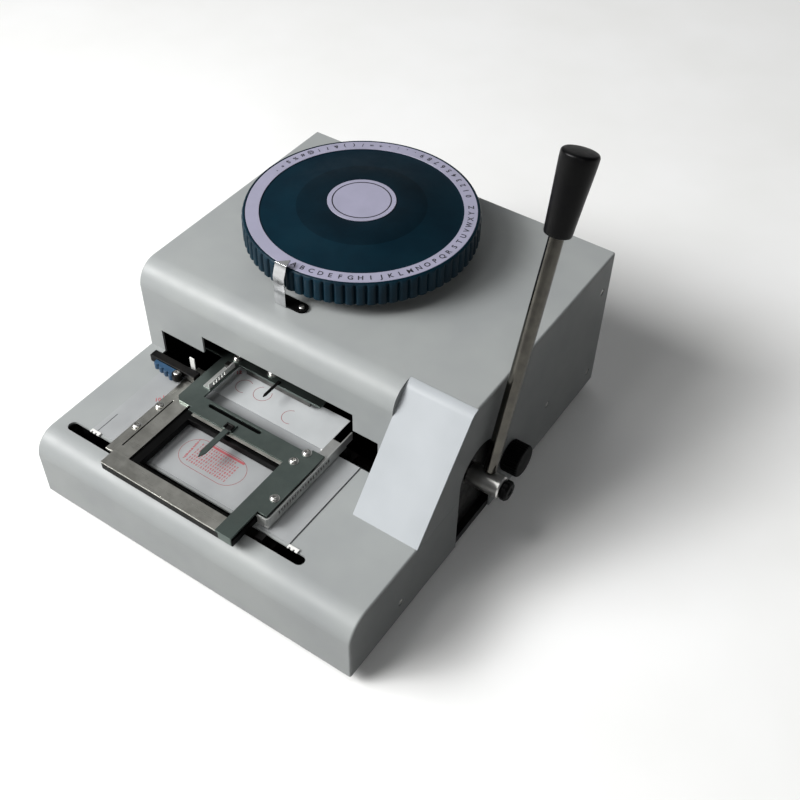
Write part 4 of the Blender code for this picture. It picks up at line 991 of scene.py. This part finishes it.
def rear_shutter():
    """Pale sheet between the rails that keeps a tag from the gap behind the deck."""
    x = (EMBOSS_X - 56.5 * MM, EMBOSS_X + 70.5 * MM)
    y = (guide_high.y - 3 * MM, FACE_Y + 24 * MM)
    z = (guide_high.z + 1 * MM, guide_high.z + 1.7 * MM)
    piece("rear_shutter", block(x, y, z), "shutter", "x_carriage", "label_print", bevel=0.15)
    lines = []
    rings = ((-30, 4, 8, 60, 300), (-11, 6, 8.5, 120, 400), (26, -2, 8, 100, 300))
    for centre_x, centre_y, radius, start, end in rings:
        centre = shift(centre_x, centre_y)
        outer = arc(centre, radius * MM, start, end, 40)
        inner = arc(centre, (radius - 0.5) * MM, start, end, 40)
        lines.append(open_band(outer, inner, z[1], z[1] + HAIR))
    piece("shutter_rings", joined(lines), "faded_red_ink", "x_carriage", "label_print")
    number = [("12", 4 * MM, (*shift(-45, 15), z[1] + HAIR), 40)]
    printed("shutter_number", number, "red_ink", "x_carriage", weight=0.03)


def release_lever():
    refined("release_bar", "oxide", 0.6, "release", "dark_steel", segments=3)
    low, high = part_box("release_grip")
    scallops = 4
    width = (high.x - low.x) / scallops
    outline = [(high.x, high.y), (low.x, high.y)]
    for i in range(scallops):
        middle = low.x + (i + 0.5) * width
        depth = high.y - low.y
        front = low.y + width * 0.45 + (scallops - 1 - i) * depth * 0.13
        outline += arc((middle, front), width * 0.45, 195, 345, 8)
    pad = prism(outline, "Z", (low.z, high.z))
    stands_for = ("release_grip",)
    piece("release_pad", pad, "blue_abs", "release", "blue_plastic", stands_for, bevel=0.6, segments=3)
    lug_x, lug_y = shift(-82.5, -24)
    lug = prism(circle((lug_x, lug_y), 4.6 * MM, 32), "Z", (low.z + 1 * MM, high.z + 0.6 * MM))
    piece("release_lug", lug, "oxide", "release", "dark_steel", bevel=0.3)
    pan_screw("release_screw", (lug_x, lug_y, high.z + 0.6 * MM), "release", 3.2, turn=25)
    tab_x, tab_y = shift(-81.5, -7.6)
    tab = block((tab_x, tab_x + 5.4 * MM), (tab_y, tab_y + 1 * MM), (DECK_Z + 3 * MM, DECK_Z + 19 * MM))
    piece("white_tab", tab, "white_abs", "x_carriage", "black_plastic", bevel=0.25)


def printed_layout():
    """Generic layout under the window: a tag outline round a block of figures, and marks at the side."""
    low, high = guide_high.z, guide_high.z + HAIR
    tag_x, tag_y = (-29, 36), (-93, -62)
    radius = (tag_y[1] - tag_y[0]) / 2
    ends = [shift(tag_x[0] + radius, tag_y[0] + radius), shift(tag_x[1] - radius, tag_y[0] + radius)]
    outer = capsule(*ends, radius * MM, 24)
    inner = capsule(*ends, (radius - 0.45) * MM, 24)
    piece("layout_outline", band(outer, inner, low, high), "faded_red_ink", "case", "label_print")
    marks = []
    for row in range(7):
        for column in range(17 if row else 15):
            place = shift(-15.5 + 2.5 * column, -67.5 - 3.3 * row)
            marks.append((str((column + row) % 10), 2.1 * MM, (*place, high), 0))
    for row in range(7):
        marks.append((str(row + 1), 2.9 * MM, (*shift(-21 + 0.3 * row, -65.5 - 3.5 * row), high), 0))
    heavy_x, heavy_y = shift(-8, -65.5)
    bar = block((heavy_x, heavy_x + 35 * MM), (heavy_y, heavy_y + 2.2 * MM), (low, high))
    piece("layout_bar", bar, "red_ink", "case", "label_print")
    printed("layout_figures", marks, "red_ink", "case", weight=0.05)
    side = [("10", -82, -50), ("11", -75, -33), ("12", -79, -44)]
    signs = [(text, 4.2 * MM, (*shift(x, y), high), 40) for text, x, y in side]
    printed("layout_side_marks", signs, "red_ink", "case", weight=0.02)


def band(outer, inner, low, high):
    """A closed line between two outlines with as many points."""
    return open_band(outer + outer[:1], inner + inner[:1], low, high)


def open_band(outer, inner, low, high):
    shape = bmesh.new()
    corners = ((outer, low), (outer, high), (inner, high), (inner, low))
    rings = [[shape.verts.new((*point, z)) for point in line] for line, z in corners]
    for a, b in zip(rings, rings[1:] + rings[:1]):
        for i in range(len(a) - 1):
            shape.faces.new((a[i], a[i + 1], b[i + 1], b[i]))
    bmesh.ops.remove_doubles(shape, verts=shape.verts, dist=0.001 * MM)
    bmesh.ops.holes_fill(shape, edges=shape.edges)
    bmesh.ops.recalc_face_normals(shape, faces=shape.faces)
    return shape


def guide_plate():
    plate = block((guide_low.x, guide_high.x), (guide_low.y, guide_high.y), (guide_low.z, guide_high.z))
    # the plate's darker film is painted shade
    piece("layout_plate", plate, "plate", "case", "label_print", ("guide_plate",), bevel=0.2)
    slot_y = centre_of("front_guide_rod").y
    for name, x in (("left", guide_low.x), ("right", guide_high.x + 0.5 * MM)):
        hook_y = (slot_y + 3.3 * MM, guide_low.y - 0.1 * MM)
        hook = block((x, x + 10 * MM), hook_y, (guide_low.z, guide_high.z + 0.4 * MM))
        front = (hook_y[0] - PAST, hook_y[0] + 1.5 * MM)
        tall = (guide_low.z - PAST, guide_high.z + PAST)
        notches = [block((x + a * MM, x + (a + 1.8) * MM), front, tall) for a in (1.6, 5.6)]
        piece(f"plate_hook_{name}", hook, "white_abs", "case", "label_print", bevel=0.15, cuts=notches)
    # a thin dark line beside the plate: painted shadow of the gap at its edge
    shadow_line_x = (guide_high.x + 0.3 * MM, guide_high.x + 0.7 * MM)
    edge = block(shadow_line_x, (guide_low.y, guide_high.y), (DECK_Z, DECK_Z + HAIR))
    piece("plate_edge_painted_shadow", edge, "ink", "case", "label_print")
    line_x = EMBOSS_X - 99 * MM
    line_y = (FACE_Y - 109 * MM, FACE_Y - 83 * MM)
    line = block((line_x, line_x + 0.6 * MM), line_y, (guide_high.z, guide_high.z + HAIR))
    piece("plate_scale_line", line, "ink", "case", "label_print")
    pin = turned([(0, 0), (1.8 * MM, 0), (1.5 * MM, 1 * MM), (0, 1.6 * MM)], (0, 0), 32)
    pin.transform(Matrix.Translation((*shift(70, -14.5), guide_high.z)))
    piece("plate_rivet", pin, "white_abs", "case", "label_print")


# Everything else keeps its CAD shape: black oxide as its real finish, and steel painted dark as painted
# shade inside the case

CARRIED_OVER = {
    "oxide": (
        "base_plate frame_plate_left frame_plate_middle frame_plate_right rod_bracket_left "
        "rod_bracket_right hub_sleeve upper_rocker lower_rocker front_slider rear_slider"
    ),
    "steel": (
        "front_guide_rod rear_guide_rod shaft_bush_middle shaft_bush_right upper_rocker_shaft "
        "lower_rocker_shaft wheel_spindle detent_spring return_spring punch_disc die_disc index_disc "
        "detent_arm detent_roller main_shaft upper_cam lower_cam upper_cam_roller lower_cam_roller "
        "tag_holder tag_clamp"
    ),
}


def finish_carried_nodes():
    for finish, names in CARRIED_OVER.items():
        for name in names.split():
            node = CAD[name]
            node.data.materials.clear()
            node.data.materials.append(FINISH[finish])


def feet():
    """Moulded rubber feet with a ring on the sole and a screw recess."""
    for name in ("foot_front_left", "foot_front_right", "foot_rear_left", "foot_rear_right"):
        low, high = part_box(name)
        centre = ((low.x + high.x) / 2, (low.y + high.y) / 2)
        r = (high.x - low.x) / 2
        profile = [(0, 4 * MM), (4 * MM, 4 * MM), (4 * MM, 0.6 * MM), (5 * MM, 0)]
        profile += [(r - 2.6 * MM, 0), (r - 2 * MM, 0.5 * MM), (r - 0.3 * MM, high.z - 1.5 * MM)]
        profile += [(r - 0.3 * MM, high.z), (0, high.z)]
        piece(name + "_moulded", turned(profile, centre, 48), "rubber", "case", "rubber", (name,))


# Stage


def stage():
    floor = bmesh.new()
    size = 20
    outline = rectangle((-size, size), (-size, size))
    floor.faces.new([floor.verts.new((x, y, -0.2 * MM)) for x, y in outline])
    ground = link("floor", floor)
    material, tree, shader, place = start_material("matt_paper", Metallic=0.0, Roughness=0.9)
    tint(tree, shader, grain(tree, place, 200), "F2F2F0", "F6F6F5")
    ground.data.materials.append(material)
    ground.visible_diffuse = False  # keeps the shaded side of the case dark


def light(name, place, target, size, power):
    lamp = bpy.data.lights.new(name, "AREA")
    lamp.shape = "RECTANGLE"
    lamp.size, lamp.size_y = size
    lamp.energy = power
    aim(name, lamp, place, target)


def aim(name, lamp, place, target):
    obj = bpy.data.objects.new(name, lamp)
    bpy.context.scene.collection.objects.link(obj)
    obj.location = place
    obj.rotation_euler = (Vector(target) - Vector(place)).to_track_quat("-Z", "Y").to_euler()


def lights():
    """Broad light from the front left, a nearer one on that side, and dim cards for the metals."""
    middle = (0, 0, 0.1)
    broad = bpy.data.lights.new("broad_light", "SUN")
    broad.energy = 2.35
    broad.angle = math.radians(28)
    aim("broad_light", broad, (-1.0, -1.2, 1.24), (0, 0, 0))
    light("left_light", (-0.85, -0.75, 0.95), middle, (0.7, 0.5), 17)
    light("rear_card", (-0.75, 1.1, 1.45), middle, (1.2, 1.2), 2)
    light("top_card", (-0.08, -0.39, 1.0), (0.17, -0.05, 0.1), (0.2, 0.2), 1.2)
    light("right_card", (0.95, -1.1, 1.0), (0.1, 0, 0.1), (0.5, 0.5), 2.5)
    world = bpy.data.worlds.new("room")
    world.use_nodes = True
    tree = world.node_tree
    background = tree.nodes["Background"]
    place = add_node(tree, "ShaderNodeTexCoord").outputs["Generated"]
    height = add_node(tree, "ShaderNodeSeparateXYZ", {}, {"Vector": place}).outputs["Z"]
    sky = add_node(tree, "ShaderNodeMapRange", {"From Min": -0.3, "From Max": -0.1}, {"Value": height})
    shade = add_node(tree, "ShaderNodeMix", {"data_type": "RGBA"}, {0: sky.outputs[0]})
    for socket, code in ((6, "000000"), (7, "F4F6F8")):
        shade.inputs[socket].default_value = srgb(code)
    tree.links.new(shade.outputs[2], background.inputs["Color"])
    background.inputs["Strength"].default_value = 0.14
    bpy.context.scene.world = world
    bpy.context.scene.view_settings.view_transform = "Standard"


def camera():
    """Three-quarter view from the front right, looking down at the deck."""
    azimuth, elevation, roll = math.radians(33.37), math.radians(46.24), math.radians(1.23)
    level = math.cos(elevation)
    back = Vector((math.sin(azimuth) * level, -math.cos(azimuth) * level, math.sin(elevation)))
    right = (-back).cross(Vector((0, 0, 1))).normalized()
    up = right.cross(-back)
    across = math.cos(roll) * right + math.sin(roll) * up
    upright = -math.sin(roll) * right + math.cos(roll) * up
    lens = bpy.data.cameras.new("camera")
    lens.lens = 50.25
    lens.clip_start = 0.05
    eye = bpy.data.objects.new("camera", lens)
    bpy.context.scene.collection.objects.link(eye)
    pose = Matrix((across, upright, back)).transposed().to_4x4()
    pose.translation = ((CASE_X[0] + CASE_X[1]) / 2 + 0.4349, -0.5496, 0.7812)
    eye.matrix_world = pose
    bpy.context.scene.camera = eye


camera()
case_shell()
ramp_housing()
rear_cover()
case_screws()
index_wheel()
dial_characters(*label_ring())
centre_label()
pointer_clip()
lever()
shaft_end()
pitch_knob()
side_rails()
inner_frame()
needles()
line_rack()
rear_shutter()
release_lever()
guide_plate()
printed_layout()
finish_carried_nodes()
feet()
stage()
lights()
